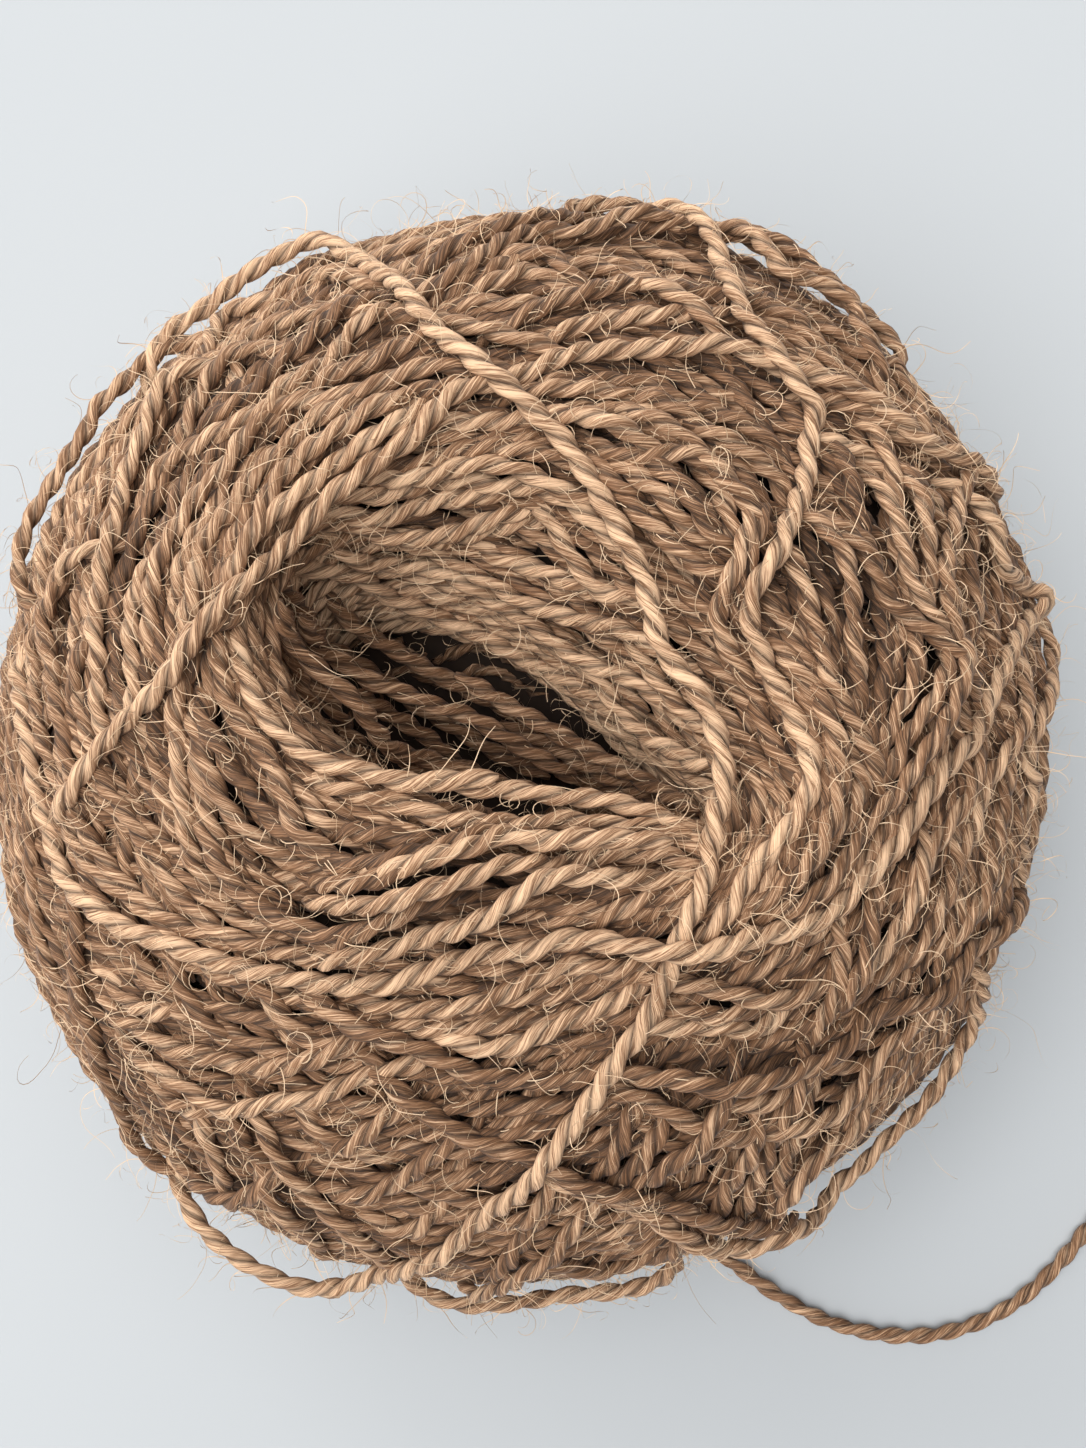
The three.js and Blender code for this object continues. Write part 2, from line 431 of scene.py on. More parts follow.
loose_line = smooth_line(LOOSE_END_ROUTE, RING_STEP)
loose_mesh = YarnMesh()
loose_up = np.tile((0.0, 0.0, 1.0), (len(loose_line), 1))
loose_tone = np.zeros(len(loose_line))
loose_mesh.add(loose_line, loose_up, loose_tone, (0.3, 1.7, 2.0), flatness=1.0, taper=False)
loose_end = finish_piece(loose_mesh.build("loose_end_yarn"), yarn_finish, "loose_end")
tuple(LOOSE_END_ROUTE[0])

# The wound form is what all the turns add up to: flat where the ball rests, and hollow in
# the middle, where the yarn is drawn out. Its sections, in millimetres, run from the foot
# up over the rim and down into the hollow. Latitude counts degrees on the winding sphere.
SECTIONS = np.array([
    # latitude, z, length, width, shift, taper
    (-90, 0, 0, 0, 0, 0),
    (-76, 0, 15, 16, 0, 0),
    (-60, 3.6, 29, 30, 0, 0),
    (-45, 9.6, 37, 38.5, 0, 0),
    (-24, 19.6, 42.6, 44.4, 0, 0),
    (0, 31, 44.4, 46.2, 0, 0),
    (20, 43, 41.6, 43.2, 0, 0),
    (35, 52.6, 36, 36.5, 0.5, 0.03),
    (47, 59.4, 28.5, 26.5, 1, 0.06),
    (57, 62.6, 22.5, 17, 1.4, 0.12),
    (66, 58.6, 19, 10.4, 0, 0.2),
    (75, 48, 17, 7.2, -3, 0.2),
    (84, 36, 14.5, 6.2, -4.4, 0.15),
    (90, 31, 0, 0, -4.4, 0),
])
FINE_LATITUDES = np.linspace(-90, 90, 1441)
MEASURE_STEP = math.radians(0.4)


def section_column(column):
    """One column of the sections at every fine latitude, without overshoot."""
    at, values = SECTIONS[:, 0], SECTIONS[:, column]
    slopes = np.diff(values) / np.diff(at)
    before, after = slopes[:-1], slopes[1:]
    both = np.where(before + after == 0, 1, before + after)
    joined = np.where(before * after > 0, 2 * before * after / both, 0)
    slopes = np.concatenate((slopes[:1], joined, slopes[-1:]))
    row = np.clip(np.searchsorted(at, FINE_LATITUDES) - 1, 0, len(at) - 2)
    span = at[row + 1] - at[row]
    t = (FINE_LATITUDES - at[row]) / span
    return (
        (1 + 2 * t) * (1 - t) ** 2 * values[row] + t * (1 - t) ** 2 * span * slopes[row]
        + t**2 * (3 - 2 * t) * values[row + 1] - t**2 * (1 - t) * span * slopes[row + 1]
    )


section_z, section_length, section_width, section_shift, section_taper = (
    section_column(column) for column in range(1, 6)
)


def form_points(direction):
    """Where directions from the middle of the winding sphere lie on the wound form."""
    latitude = np.degrees(np.arcsin(np.clip(direction[:, 2], -1, 1)))
    flat = np.maximum(np.hypot(direction[:, 0], direction[:, 1]), 1e-9)
    cosine, sine = direction[:, 0] / flat, direction[:, 1] / flat
    length, width, shift, taper, z = (
        np.interp(latitude, FINE_LATITUDES, column)
        for column in (section_length, section_width, section_shift, section_taper, section_z)
    )
    return MM * np.stack((length * cosine, shift + width * (1 - taper * cosine) * sine, z), 1)


def form_normals(direction):
    east = unit(np.stack((-direction[:, 1], direction[:, 0], np.zeros(len(direction))), 1))
    north = np.cross(direction, east)

    def slope(way):
        ahead, behind = unit(direction + way * MEASURE_STEP), unit(direction - way * MEASURE_STEP)
        return form_points(ahead) - form_points(behind)

    return unit(np.cross(slope(east), slope(north)))


def sphere_direction(bearing, latitude):
    bearing, latitude = np.radians(bearing), np.radians(latitude)
    level = np.cos(latitude)
    return np.stack((level * np.cos(bearing), level * np.sin(bearing), np.sin(latitude)), -1)


# The heart of the ball is the yarn that lies too deep to be seen as strands. It is one matted
# body a little inside the wound form, painted near black as painted shade for the deep gaps
# between the turns, and the visible turns are laid on it.
BED_DEPTH = 0.0034
HEART_COLUMNS = 90
HEART_ROWS = 60
HEART_PAINTED_SHADE_DARK = (0.010, 0.005, 0.003)
HEART_PAINTED_SHADE_PALE = (0.034, 0.017, 0.008)
HEART_GRAIN = 900


def heart_body():
    latitudes = np.linspace(-90, 90, HEART_ROWS + 1)[1:-1]
    bearings = np.arange(HEART_COLUMNS) * 360 / HEART_COLUMNS
    grid = sphere_direction(*np.meshgrid(bearings, latitudes)).reshape(-1, 3)
    poles = np.array([(0.0, 0.0, -1.0), (0.0, 0.0, 1.0)])
    directions = np.vstack((grid, poles))
    points = form_points(directions) - form_normals(directions) * BED_DEPTH
    points[-2:] = form_points(poles) + np.array([(0, 0, BED_DEPTH), (0, 0, -BED_DEPTH)])
    index = np.arange(len(grid)).reshape(len(latitudes), HEART_COLUMNS)
    faces = ring_faces(index).tolist()
    faces += [(len(grid), b, a) for a, b in zip(index[0], np.roll(index[0], -1))]
    faces += [(len(grid) + 1, a, b) for a, b in zip(index[-1], np.roll(index[-1], -1))]
    return smooth_piece("heart", points, faces)


def heart_material():
    material = bpy.data.materials.new("matted yarn in painted shade")
    material.use_nodes = True
    nodes, links = material.node_tree.nodes, material.node_tree.links
    texture = nodes.new("ShaderNodeTexNoise")
    texture.inputs["Scale"].default_value = HEART_GRAIN
    texture.inputs["Detail"].default_value = 4
    place = nodes.new("ShaderNodeTexCoord")
    links.new(place.outputs["Object"], texture.inputs["Vector"])
    # Near-black colours: painted shade deep among the turns, not the yarn's own colour.
    ramp = nodes.new("ShaderNodeValToRGB")
    ramp.color_ramp.elements[0].color = (*HEART_PAINTED_SHADE_DARK, 1)
    ramp.color_ramp.elements[1].color = (*HEART_PAINTED_SHADE_PALE, 1)
    links.new(texture.outputs["Fac"], ramp.inputs["Fac"])
    links.new(ramp.outputs["Color"], nodes["Principled BSDF"].inputs["Base Color"])
    nodes["Principled BSDF"].inputs["Roughness"].default_value = 0.95
    return material


finish_piece(heart_body(), heart_material(), "ball")

# The turns are wound on in bundles, each on the ones before, so every strand lies as high
# as what is under it and is drawn nearly straight over the gaps. The bed remembers how
# high the yarn stands on it at each spot.
SPOT_SIZE = 0.00045
LAY_STEP = 0.0005
CONTACT = 0.92 * YARN / 2
SQUEEZE = 0.62
SAG_RADIUS = 0.011
SAG_REACH = 0.008
BEND_STEPS = 4
BEND_SPREAD = 1.8
TUCK_LENGTH = 0.007
TUCK_DEPTH = 2.1 * YARN


def bed_directions():
    fine = sphere_direction(np.zeros_like(FINE_LATITUDES), FINE_LATITUDES)
    along = lengths_along(form_points(fine))
    spots = []
    for latitude in np.interp(np.arange(0, along[-1], SPOT_SIZE), along, FINE_LATITUDES):
        at = FINE_LATITUDES.searchsorted(latitude)
        girth = 2 * math.pi * MM * max(section_length[at], section_width[at])
        count = max(int(girth / SPOT_SIZE), 1)
        spots.append(sphere_direction(np.arange(count) * 360 / count, np.full(count, latitude)))
    return np.concatenate(spots)


bed = bed_directions()
bed_height = np.zeros(len(bed))
bed_tree = kdtree.KDTree(len(bed))
for number, spot in enumerate(form_points(bed)):
    bed_tree.insert(spot, number)
bed_tree.balance()
laid_strands = []


def spots_under(points):
    """The bed's spots within a strand's half width of each point: spot, distance, start."""
    spots, distances, starts = [], [], []
    for point in points:
        starts.append(len(spots))
        for _, spot, distance in bed_tree.find_range(point, CONTACT):
            spots.append(spot)
            distances.append(distance)
    return np.array(spots, int), np.array(distances), np.array(starts, int)


def lay(directions, group, floor_height=None, tucked=(True, True)):
    """Lays one strand along directions on the winding sphere, on all that lies there."""
    if floor_height is None:
        floor_height = np.zeros(len(directions))
    base = form_points(directions)
    directions, floor_height = evenly(base, LAY_STEP, directions, floor_height[:, None])
    directions, floor_height = unit(directions), floor_height[:, 0]
    normals = form_normals(directions)
    surface = form_points(directions)
    spots, distances, starts = spots_under(surface)
    rise = SQUEEZE * np.sqrt(np.maximum((YARN / 2) ** 2 - distances**2, 0))
    need = np.maximum.reduceat(bed_height[spots] + rise, starts)
    height = need.copy()
    for shift in range(1, int(SAG_REACH / LAY_STEP)):
        drop = (shift * LAY_STEP) ** 2 / (2 * SAG_RADIUS)
        height[shift:] = np.maximum(height[shift:], need[:-shift] - drop)
        height[:-shift] = np.maximum(height[:-shift], need[shift:] - drop)
    soft = np.exp(-0.5 * (np.arange(-BEND_STEPS, BEND_STEPS + 1) / BEND_SPREAD) ** 2)
    height = blended(height, soft / soft.sum())
    height = np.maximum(height, floor_height)
    along = np.arange(len(height)) * LAY_STEP
    for ends_here, to_end in zip(tucked, (along, along[-1] - along)):
        if ends_here:
            height -= TUCK_DEPTH * np.clip(1 - to_end / TUCK_LENGTH, 0, 1) ** 2
    which = np.repeat(np.arange(len(starts)), np.diff(np.append(starts, len(spots))))
    np.maximum.at(bed_height, spots, height[which] + rise)
    strand = {
        "group": group,
        "direction": directions,
        "base": surface - normals * BED_DEPTH,
        "normal": normals,
        "height": height,
    }
    laid_strands.append(strand)
    return strand


CELL = 7.5
FOOT_LATITUDE = -64
FOOT_RELIEF = 0.0016
CROWN_LATITUDE = 22


def degrees_of(directions):
    latitude = np.degrees(np.arcsin(np.clip(directions[:, 2], -1, 1)))
    return latitude, np.degrees(np.arctan2(directions[:, 1], directions[:, 0])) % 360


def read_cells(cells, directions):
    """Reads a grid of latitude and bearing cells, blended between the middles of the cells."""
    latitude, bearing = degrees_of(directions)
    row = np.clip((latitude + 90) / CELL - 0.5, 0, len(cells) - 1.001)
    column = bearing / CELL - 0.5
    low, left = np.floor(row).astype(int), np.floor(column).astype(int)
    up, across = row - low, column - left
    left, right = left % cells.shape[1], (left + 1) % cells.shape[1]
    near = cells[low, left] * (1 - across) + cells[low, right] * across
    far = cells[low + 1, left] * (1 - across) + cells[low + 1, right] * across
    return near * (1 - up) + far * up


def press(level, crown_relief=0.0):
    """Presses the turns laid so far into each other, to one mean height all over the ball."""
    latitude, bearing = degrees_of(bed)
    edges = np.arange(-90, 90 + CELL, CELL), np.arange(0, 360 + CELL, CELL)
    count = np.histogram2d(latitude, bearing, edges)[0]
    mean = np.histogram2d(latitude, bearing, edges, weights=bed_height)[0] / np.maximum(count, 1)
    middles = (edges[0][:-1] + edges[0][1:])[:, None] / 2
    wanted = level - np.where(middles < FOOT_LATITUDE, FOOT_RELIEF, 0)
    wanted = wanted - crown_relief * np.clip((middles - CROWN_LATITUDE) / CELL, 0, 1)
    share = np.minimum(wanted / np.maximum(mean, 1e-6), 1)
    bed_height[:] = bed_height * read_cells(share, bed)
    for strand in laid_strands:
        strand["height"] = strand["height"] * read_cells(share, strand["direction"])


# Each row is a bundle, in winding order: it follows a circle on the winding sphere round a
# pole at this bearing and tilt, with this radius, all in degrees. Copies stand evenly round
# the ball, turns lie side by side, and drift turns the pole from one turn to the next.
MEAN_RADIUS = 45.3 * MM
MEAN_GIRTH = 0.28
DEGREES_PER_TURN = math.degrees(YARN / MEAN_RADIUS)
POINTS_PER_TURN = 720
WANDER_LENGTH = 0.055


def wind(group, bearing, tilt, radius, turns, copies=1, drift=0.0, spacing=1.15, wander=0.9):
    for copy in range(copies):
        count = int(turns * POINTS_PER_TURN)
        turn = np.linspace(0, turns, count)
        swing = np.radians(bearing + copy * 360 / copies + drift * turn)
        lean = np.radians(tilt)
        sideways = np.sin(lean) * np.stack((np.cos(swing), np.sin(swing)), 1)
        pole = np.column_stack((sideways, np.full(count, np.cos(lean))))
        along = turn * MEAN_GIRTH * math.sin(math.radians(radius))
        reach = radius + (turn - turns / 2) * DEGREES_PER_TURN * spacing
        reach = np.radians(reach + slow_noise(along, WANDER_LENGTH, wander))
        level = np.cross((0.0, 0.0, 1.0), pole) if tilt else np.tile((1.0, 0.0, 0.0), (count, 1))
        first = unit(level)
        second = np.cross(pole, first)
        spin = 2 * math.pi * turn + draw.uniform(0, 2 * math.pi)
        around = np.cos(spin)[:, None] * first + np.sin(spin)[:, None] * second
        lay(np.cos(reach)[:, None] * pole + np.sin(reach)[:, None] * around, group)


wind("under", bearing=0, tilt=112, radius=67, turns=24, drift=15, spacing=0)
wind("under", bearing=0, tilt=55, radius=86, turns=36, drift=10, spacing=0)
wind("under", bearing=90, tilt=36, radius=84, turns=24, drift=15, spacing=0)
press(0.0014)
wind("under", bearing=0, tilt=0, radius=28, turns=26, spacing=0.9, wander=1.5)
wind("under", bearing=40, tilt=20, radius=70, turns=24, drift=15, spacing=0)
wind("under", bearing=20, tilt=25, radius=52, turns=20, drift=18, spacing=0)
wind("under", bearing=0, tilt=9, radius=34, turns=16, drift=22, spacing=0)
press(0.0020)
wind("foot", bearing=12, tilt=112, radius=67, turns=6, copies=3)
wind("foot", bearing=40, tilt=10, radius=137, turns=6, copies=2)
wind("flank", bearing=5, tilt=50, radius=86, turns=6, copies=4)
press(BED_DEPTH - 0.0008)
wind("flank", bearing=70, tilt=22, radius=108, turns=6, copies=2)
wind("flank", bearing=31, tilt=37, radius=84, turns=6, copies=3)
wind("flank", bearing=100, tilt=24, radius=88, turns=5, copies=2)
press(BED_DEPTH - 0.0002)
wind("crown", bearing=19, tilt=19, radius=75, turns=6)
wind("crown", bearing=131, tilt=20, radius=68, turns=6)
wind("crown", bearing=-69, tilt=21, radius=62, turns=6)
press(BED_DEPTH)
wind("crown", bearing=140, tilt=14, radius=51, turns=5)
wind("hollow", bearing=0, tilt=0, radius=12, turns=8, spacing=0.6)
wind("hollow", bearing=106, tilt=2, radius=21, turns=9, spacing=0.6)
wind("crown", bearing=144, tilt=5, radius=35, turns=9)
wind("crown", bearing=-80, tilt=5, radius=30, turns=8, spacing=0.9)
press(BED_DEPTH, crown_relief=0.0011)

# The last turns are the ones that show from above, and each is placed where it lies in the
# picture: a route is a list of picture pixels, read off along one strand. The lists
# are in winding order, so a later strand passes over the earlier ones.
PICTURE_MIDDLE = (543, 724)
ROUTE_STEP = 8
RUN_ON = 40

CROWN_FAR_SIDE = [
    [(500, 212), (547, 208), (600, 204), (641, 208), (690, 222), (742, 236), (790, 258), (835, 291),
     (880, 328), (915, 372), (945, 425)],
    [(380, 250), (430, 232), (480, 220), (520, 224), (560, 221), (620, 219), (665, 226)],
    [(429, 290), (470, 287), (509, 290), (545, 287), (585, 283)],
    [(419, 289), (452, 274), (483, 262), (524, 243), (560, 241), (600, 247), (649, 264),
     (700, 285)],
    [(470, 276), (509, 267), (529, 259), (560, 270), (598, 284)],
    [(500, 243), (526, 246), (552, 249), (567, 264), (598, 280)],
    [(407, 283), (440, 276), (470, 260), (500, 238), (534, 223), (575, 224), (620, 222),
     (662, 226)],
    [(395, 262), (420, 252), (450, 241), (490, 232), (519, 222), (560, 214)],
    [(530, 325), (552, 320), (590, 312), (636, 305), (674, 304), (712, 299), (745, 296)],
    [(480, 313), (515, 308), (560, 292), (590, 285), (616, 277), (649, 272), (687, 277),
     (720, 275)],
    [(640, 270), (659, 282), (690, 300), (715, 323), (735, 345)],
    [(170, 372), (189, 348), (217, 312), (255, 290), (293, 268), (330, 258), (370, 262)],
    [(219, 358), (230, 330), (250, 315), (280, 304), (315, 297), (350, 297), (390, 298), (435, 302),
     (480, 315), (520, 326), (554, 333), (585, 345)],
]
CROWN_NEAR_HOLLOW = [
    [(520, 372), (549, 364), (585, 369), (623, 364), (655, 372), (690, 390), (730, 402), (770, 425),
     (800, 455)],
    [(660, 455), (680, 470), (703, 491), (722, 519), (732, 550), (735, 580)],
    [(500, 385), (530, 381), (570, 380), (610, 382), (645, 390), (687, 427), (713, 450), (745, 485),
     (775, 528)],
    [(545, 402), (580, 399), (620, 400), (655, 418), (690, 445), (720, 480), (732, 520),
     (738, 560)],
    [(640, 385), (670, 395), (696, 410), (727, 436), (747, 454), (765, 478), (778, 510)],
    [(700, 415), (732, 434), (765, 454), (789, 470), (803, 492)],
    [(625, 400), (655, 415), (680, 429), (706, 454), (732, 483), (758, 509), (776, 535)],
    [(585, 438), (618, 455), (649, 457), (682, 451), (712, 458)],
    [(407, 443), (432, 425), (473, 425), (509, 420), (540, 412), (580, 415), (620, 430),
     (650, 447)],
    [(400, 452), (432, 440), (470, 445), (509, 443), (547, 440)],
    [(360, 482), (419, 468), (445, 458), (473, 450), (509, 450), (547, 455), (575, 465),
     (605, 480)],
    [(385, 487), (437, 473), (470, 463), (509, 466), (539, 478), (560, 491), (585, 503)],
    [(628, 470), (651, 485), (668, 500), (679, 518), (694, 534), (715, 552)],
    [(650, 462), (676, 480), (696, 508), (712, 531), (730, 549)],
    [(585, 455), (610, 480), (643, 511), (663, 534), (689, 552), (717, 569), (728, 590)],
    [(622, 500), (645, 521), (673, 546), (704, 569), (722, 577)],
    [(330, 440), (357, 422), (390, 410), (425, 397), (460, 388)],
    [(340, 412), (380, 402), (420, 387), (468, 371), (490, 366)],
    [(120, 492), (133, 478), (158, 450), (190, 432), (219, 417), (250, 400), (290, 388), (335, 381),
     (381, 369), (414, 356), (445, 353), (480, 362)],
]
HOLLOW_FAR_WALL = [
    [(327, 590), (368, 603), (388, 621), (419, 636), (447, 649), (475, 661), (500, 679), (531, 695),
     (562, 710), (587, 725), (613, 740), (653, 766), (684, 789), (709, 804)],
    [(500, 633), (526, 649), (559, 669), (582, 695), (602, 723), (628, 740), (658, 756), (684, 768),
     (709, 779)],
    [(340, 557), (352, 572), (373, 585), (403, 592), (434, 595), (460, 608), (485, 626), (523, 641),
     (551, 659), (589, 682), (615, 692), (640, 710), (670, 735)],
    [(594, 638), (607, 654), (628, 674), (645, 692), (663, 712), (679, 728), (704, 746)],
    [(373, 562), (409, 569), (447, 582), (485, 598), (511, 613), (544, 623), (574, 633), (600, 636),
     (622, 643), (643, 654), (666, 672), (690, 690)],
    [(444, 557), (467, 567), (498, 577), (536, 587), (569, 598), (600, 605), (630, 610)],
    [(355, 544), (396, 552), (434, 554), (460, 549), (498, 541), (536, 539)],
    [(340, 538), (383, 545), (421, 545), (460, 538), (485, 529), (511, 524), (540, 517)],
    [(327, 528), (383, 529), (414, 519), (447, 508), (498, 502), (535, 508)],
    [(505, 497), (523, 508), (543, 529), (559, 555), (577, 578), (595, 598), (622, 605),
     (650, 618)],
    [(307, 528), (345, 505), (388, 504), (421, 493), (460, 485), (498, 491), (528, 490), (562, 501),
     (590, 524), (613, 550), (635, 572), (658, 592)],
]
RIGHT_SHOULDER = [
    [(720, 280), (750, 284), (776, 286), (799, 294), (825, 307), (848, 325), (872, 346), (895, 356),
     (920, 385)],
    [(775, 292), (794, 304), (820, 325), (841, 348), (856, 372), (872, 392), (892, 416),
     (908, 440)],
    [(725, 225), (750, 236), (776, 255), (797, 276), (820, 289), (846, 309), (865, 335),
     (890, 365)],
    [(708, 232), (732, 242), (758, 258), (784, 276), (810, 288), (848, 312)],
    [(820, 418), (840, 432), (870, 443), (893, 460), (903, 486), (910, 515)],
    [(845, 440), (855, 465), (865, 495), (873, 525), (880, 555)],
    [(810, 380), (833, 387), (861, 400), (887, 418), (913, 434), (949, 454), (985, 482)],
    [(878, 425), (890, 450), (900, 485), (903, 520), (915, 555), (928, 590), (950, 620)],
    [(900, 462), (926, 491), (947, 511), (965, 530)],
    [(805, 500), (825, 514), (855, 527), (880, 545), (897, 566)],
    [(908, 475), (917, 500), (926, 532), (936, 557), (941, 581), (940, 610)],
    [(880, 470), (890, 500), (902, 530), (912, 562), (922, 586), (934, 603), (956, 630),
     (968, 655)],
    [(978, 500), (986, 520), (983, 562), (990, 590), (987, 623), (978, 645)],
    [(965, 490), (960, 515), (954, 544), (949, 569), (954, 598), (961, 628), (967, 655)],
    [(815, 508), (845, 530), (870, 555), (894, 592), (917, 611), (940, 632), (968, 662),
     (990, 685)],
    [(925, 645), (922, 670), (917, 697), (907, 720), (902, 746), (895, 770)],
    [(950, 665), (941, 687), (929, 717), (914, 740), (907, 768), (893, 795)],
    [(1005, 740), (993, 771), (983, 800), (966, 827), (946, 855), (928, 885), (912, 915)],
    [(1040, 600), (1052, 650), (1050, 690), (1048, 720), (1040, 760), (1045, 790), (1038, 820),
     (1036, 855), (1030, 890), (1015, 930)],
    [(1020, 690), (1030, 730), (1025, 775), (1020, 820), (1010, 860), (1000, 900)],
    [(1035, 640), (1040, 680), (1032, 720), (1012, 765), (1000, 800), (990, 840), (975, 885)],
    [(820, 515), (833, 537), (848, 566), (858, 591), (866, 618), (871, 650), (876, 685),
     (878, 720)],
    [(860, 740), (872, 762), (877, 785), (870, 808), (856, 830), (838, 850), (815, 870)],
    [(755, 632), (775, 648), (795, 664), (811, 682), (826, 706)],
    [(735, 690), (745, 715), (757, 742), (772, 765), (790, 792)],
    [(786, 525), (798, 549), (812, 574), (820, 603), (830, 633), (838, 668), (853, 697), (867, 722),
     (880, 748), (890, 771), (896, 800)],
    [(822, 680), (832, 706), (845, 732), (851, 760), (852, 785), (845, 808), (836, 832), (824, 857),
     (806, 883), (780, 905), (745, 925)],
    [(968, 650), (961, 672), (950, 700), (940, 728), (926, 757), (909, 790), (894, 810), (877, 832),
     (860, 865), (840, 890), (805, 915), (770, 933)],
    [(762, 520), (755, 538), (744, 572), (735, 603), (732, 630), (738, 655)],
    [(752, 515), (745, 535), (740, 559), (729, 585), (719, 612), (722, 640), (731, 664),
     (742, 700)],
]
LEFT_SIDE = [
    [(26, 600), (36, 558), (46, 522), (60, 490), (84, 456), (108, 425), (133, 397), (160, 372),
     (195, 345)],
    [(14, 590), (20, 550), (28, 524), (41, 501), (54, 481), (70, 455), (88, 428), (96, 408),
     (118, 388), (150, 358), (185, 335)],
    [(60, 590), (72, 550), (88, 515), (102, 497), (112, 470), (122, 448), (140, 420)],
    [(40, 600), (51, 558), (66, 522), (82, 494), (97, 471), (120, 445), (143, 417), (160, 392),
     (184, 359)],
    [(95, 540), (77, 551), (56, 566), (41, 590), (31, 615), (18, 640), (12, 670)],
    [(45, 590), (38, 625), (36, 658), (36, 684), (41, 712), (48, 742), (52, 768), (62, 790),
     (75, 815)],
    [(90, 612), (77, 628), (64, 653), (54, 682)],
    [(128, 745), (138, 768), (150, 793), (156, 818), (165, 845)],
    [(90, 752), (80, 720), (82, 691), (87, 653), (84, 622), (87, 597), (94, 564), (103, 535),
     (110, 507), (113, 481), (122, 458), (135, 438), (150, 408), (168, 380), (195, 358)],
    [(140, 540), (125, 569), (115, 610), (112, 643), (118, 673), (116, 706), (120, 735)],
    [(150, 600), (158, 570), (168, 545), (180, 519), (194, 504), (205, 481), (218, 463), (232, 446),
     (250, 430)],
    [(130, 640), (135, 605), (140, 575), (150, 545), (165, 520), (185, 490), (209, 468), (224, 450),
     (238, 427), (258, 405)],
    [(205, 610), (210, 580), (218, 555), (227, 530), (235, 510), (245, 490), (262, 468)],
    [(275, 495), (258, 515), (246, 546), (231, 566), (218, 590), (205, 625)],
    [(163, 660), (168, 630), (176, 595), (182, 560), (187, 535), (202, 519), (219, 504), (231, 486),
     (246, 463), (270, 435), (293, 417), (319, 402), (350, 388)],
    [(222, 590), (237, 560), (252, 533), (263, 509), (272, 486), (288, 463), (306, 448), (330, 434),
     (352, 421), (378, 404), (410, 392)],
    [(270, 520), (288, 499), (314, 481), (342, 461), (365, 440), (400, 420), (425, 405)],
    [(168, 425), (179, 402), (194, 376), (215, 353), (235, 341), (268, 336), (300, 336)],
    [(300, 380), (327, 364), (370, 346), (400, 330), (425, 318)],
    [(255, 400), (275, 382), (301, 366), (327, 343), (344, 323), (362, 311), (385, 293)],
    [(200, 405), (217, 397), (242, 380), (268, 356), (293, 338), (319, 318), (342, 300),
     (365, 285)],
]
ROUND_THE_LEFT_END = [
    [(300, 768), (327, 776), (363, 786), (403, 799), (424, 814), (454, 822), (490, 822)],
    [(395, 790), (416, 784), (447, 781), (485, 791), (520, 789), (564, 799), (597, 797), (622, 804),
     (653, 814), (684, 827), (710, 842)],
    [(430, 795), (485, 801), (538, 804), (577, 809), (615, 820), (653, 825), (685, 834)],
    [(290, 845), (332, 834), (370, 827), (415, 836), (455, 833), (490, 826)],
    [(420, 856), (447, 845), (485, 838), (505, 835), (526, 826), (555, 819), (589, 822), (628, 827),
     (666, 829), (700, 845)],
    [(240, 640), (247, 663), (255, 689), (268, 712), (290, 733), (319, 755), (352, 766), (378, 776),
     (409, 784), (434, 781), (465, 779)],
    [(285, 770), (300, 796), (318, 820), (340, 835)],
    [(172, 660), (165, 689), (163, 717), (168, 742), (168, 768), (171, 793), (176, 819), (178, 844),
     (186, 872), (205, 905)],
    [(180, 745), (189, 770), (196, 801), (204, 832), (217, 857), (235, 884), (262, 905), (300, 925),
     (345, 935), (400, 920)],
    [(180, 720), (191, 742), (204, 768), (212, 793), (224, 814), (245, 840), (272, 862), (301, 872),
     (340, 876), (376, 876), (409, 868), (439, 855), (475, 845)],
    [(190, 705), (199, 728), (215, 745), (224, 770), (242, 796), (258, 816), (276, 832), (301, 849),
     (325, 862), (355, 866), (400, 858), (440, 848)],
    [(207, 620), (209, 643), (212, 673), (219, 704), (240, 728), (258, 750), (276, 781), (288, 810),
     (300, 835), (322, 850)],
    [(190, 822), (204, 845), (222, 873), (242, 896), (268, 914), (293, 927), (319, 942), (350, 955),
     (395, 958)],
    [(245, 898), (262, 910), (293, 922), (332, 934), (365, 929), (400, 917), (430, 908)],
    [(76, 770), (89, 788), (107, 813), (122, 836), (142, 862), (160, 894), (182, 919), (208, 939),
     (240, 952), (280, 958), (320, 966)],
]
NEAR_LIP = [
    [(330, 885), (376, 879), (409, 868), (439, 855), (472, 845), (510, 838)],
    [(385, 872), (401, 870), (425, 862), (465, 861), (503, 850), (540, 841), (590, 838),
     (640, 840)],
    [(650, 920), (675, 908), (700, 898), (722, 885)],
    [(590, 930), (605, 920), (631, 904), (656, 891), (689, 884), (720, 870)],
    [(345, 938), (376, 924), (414, 909), (434, 900), (470, 892)],
    [(330, 905), (388, 901), (427, 888), (465, 884), (503, 873), (534, 873), (567, 860), (605, 853),
     (656, 856), (705, 850)],
    [(435, 945), (465, 932), (500, 918), (530, 905)],
    [(320, 965), (350, 957), (388, 950), (427, 937), (460, 927), (490, 914), (516, 899), (549, 886),
     (580, 885), (618, 883), (660, 876), (700, 868)],
]
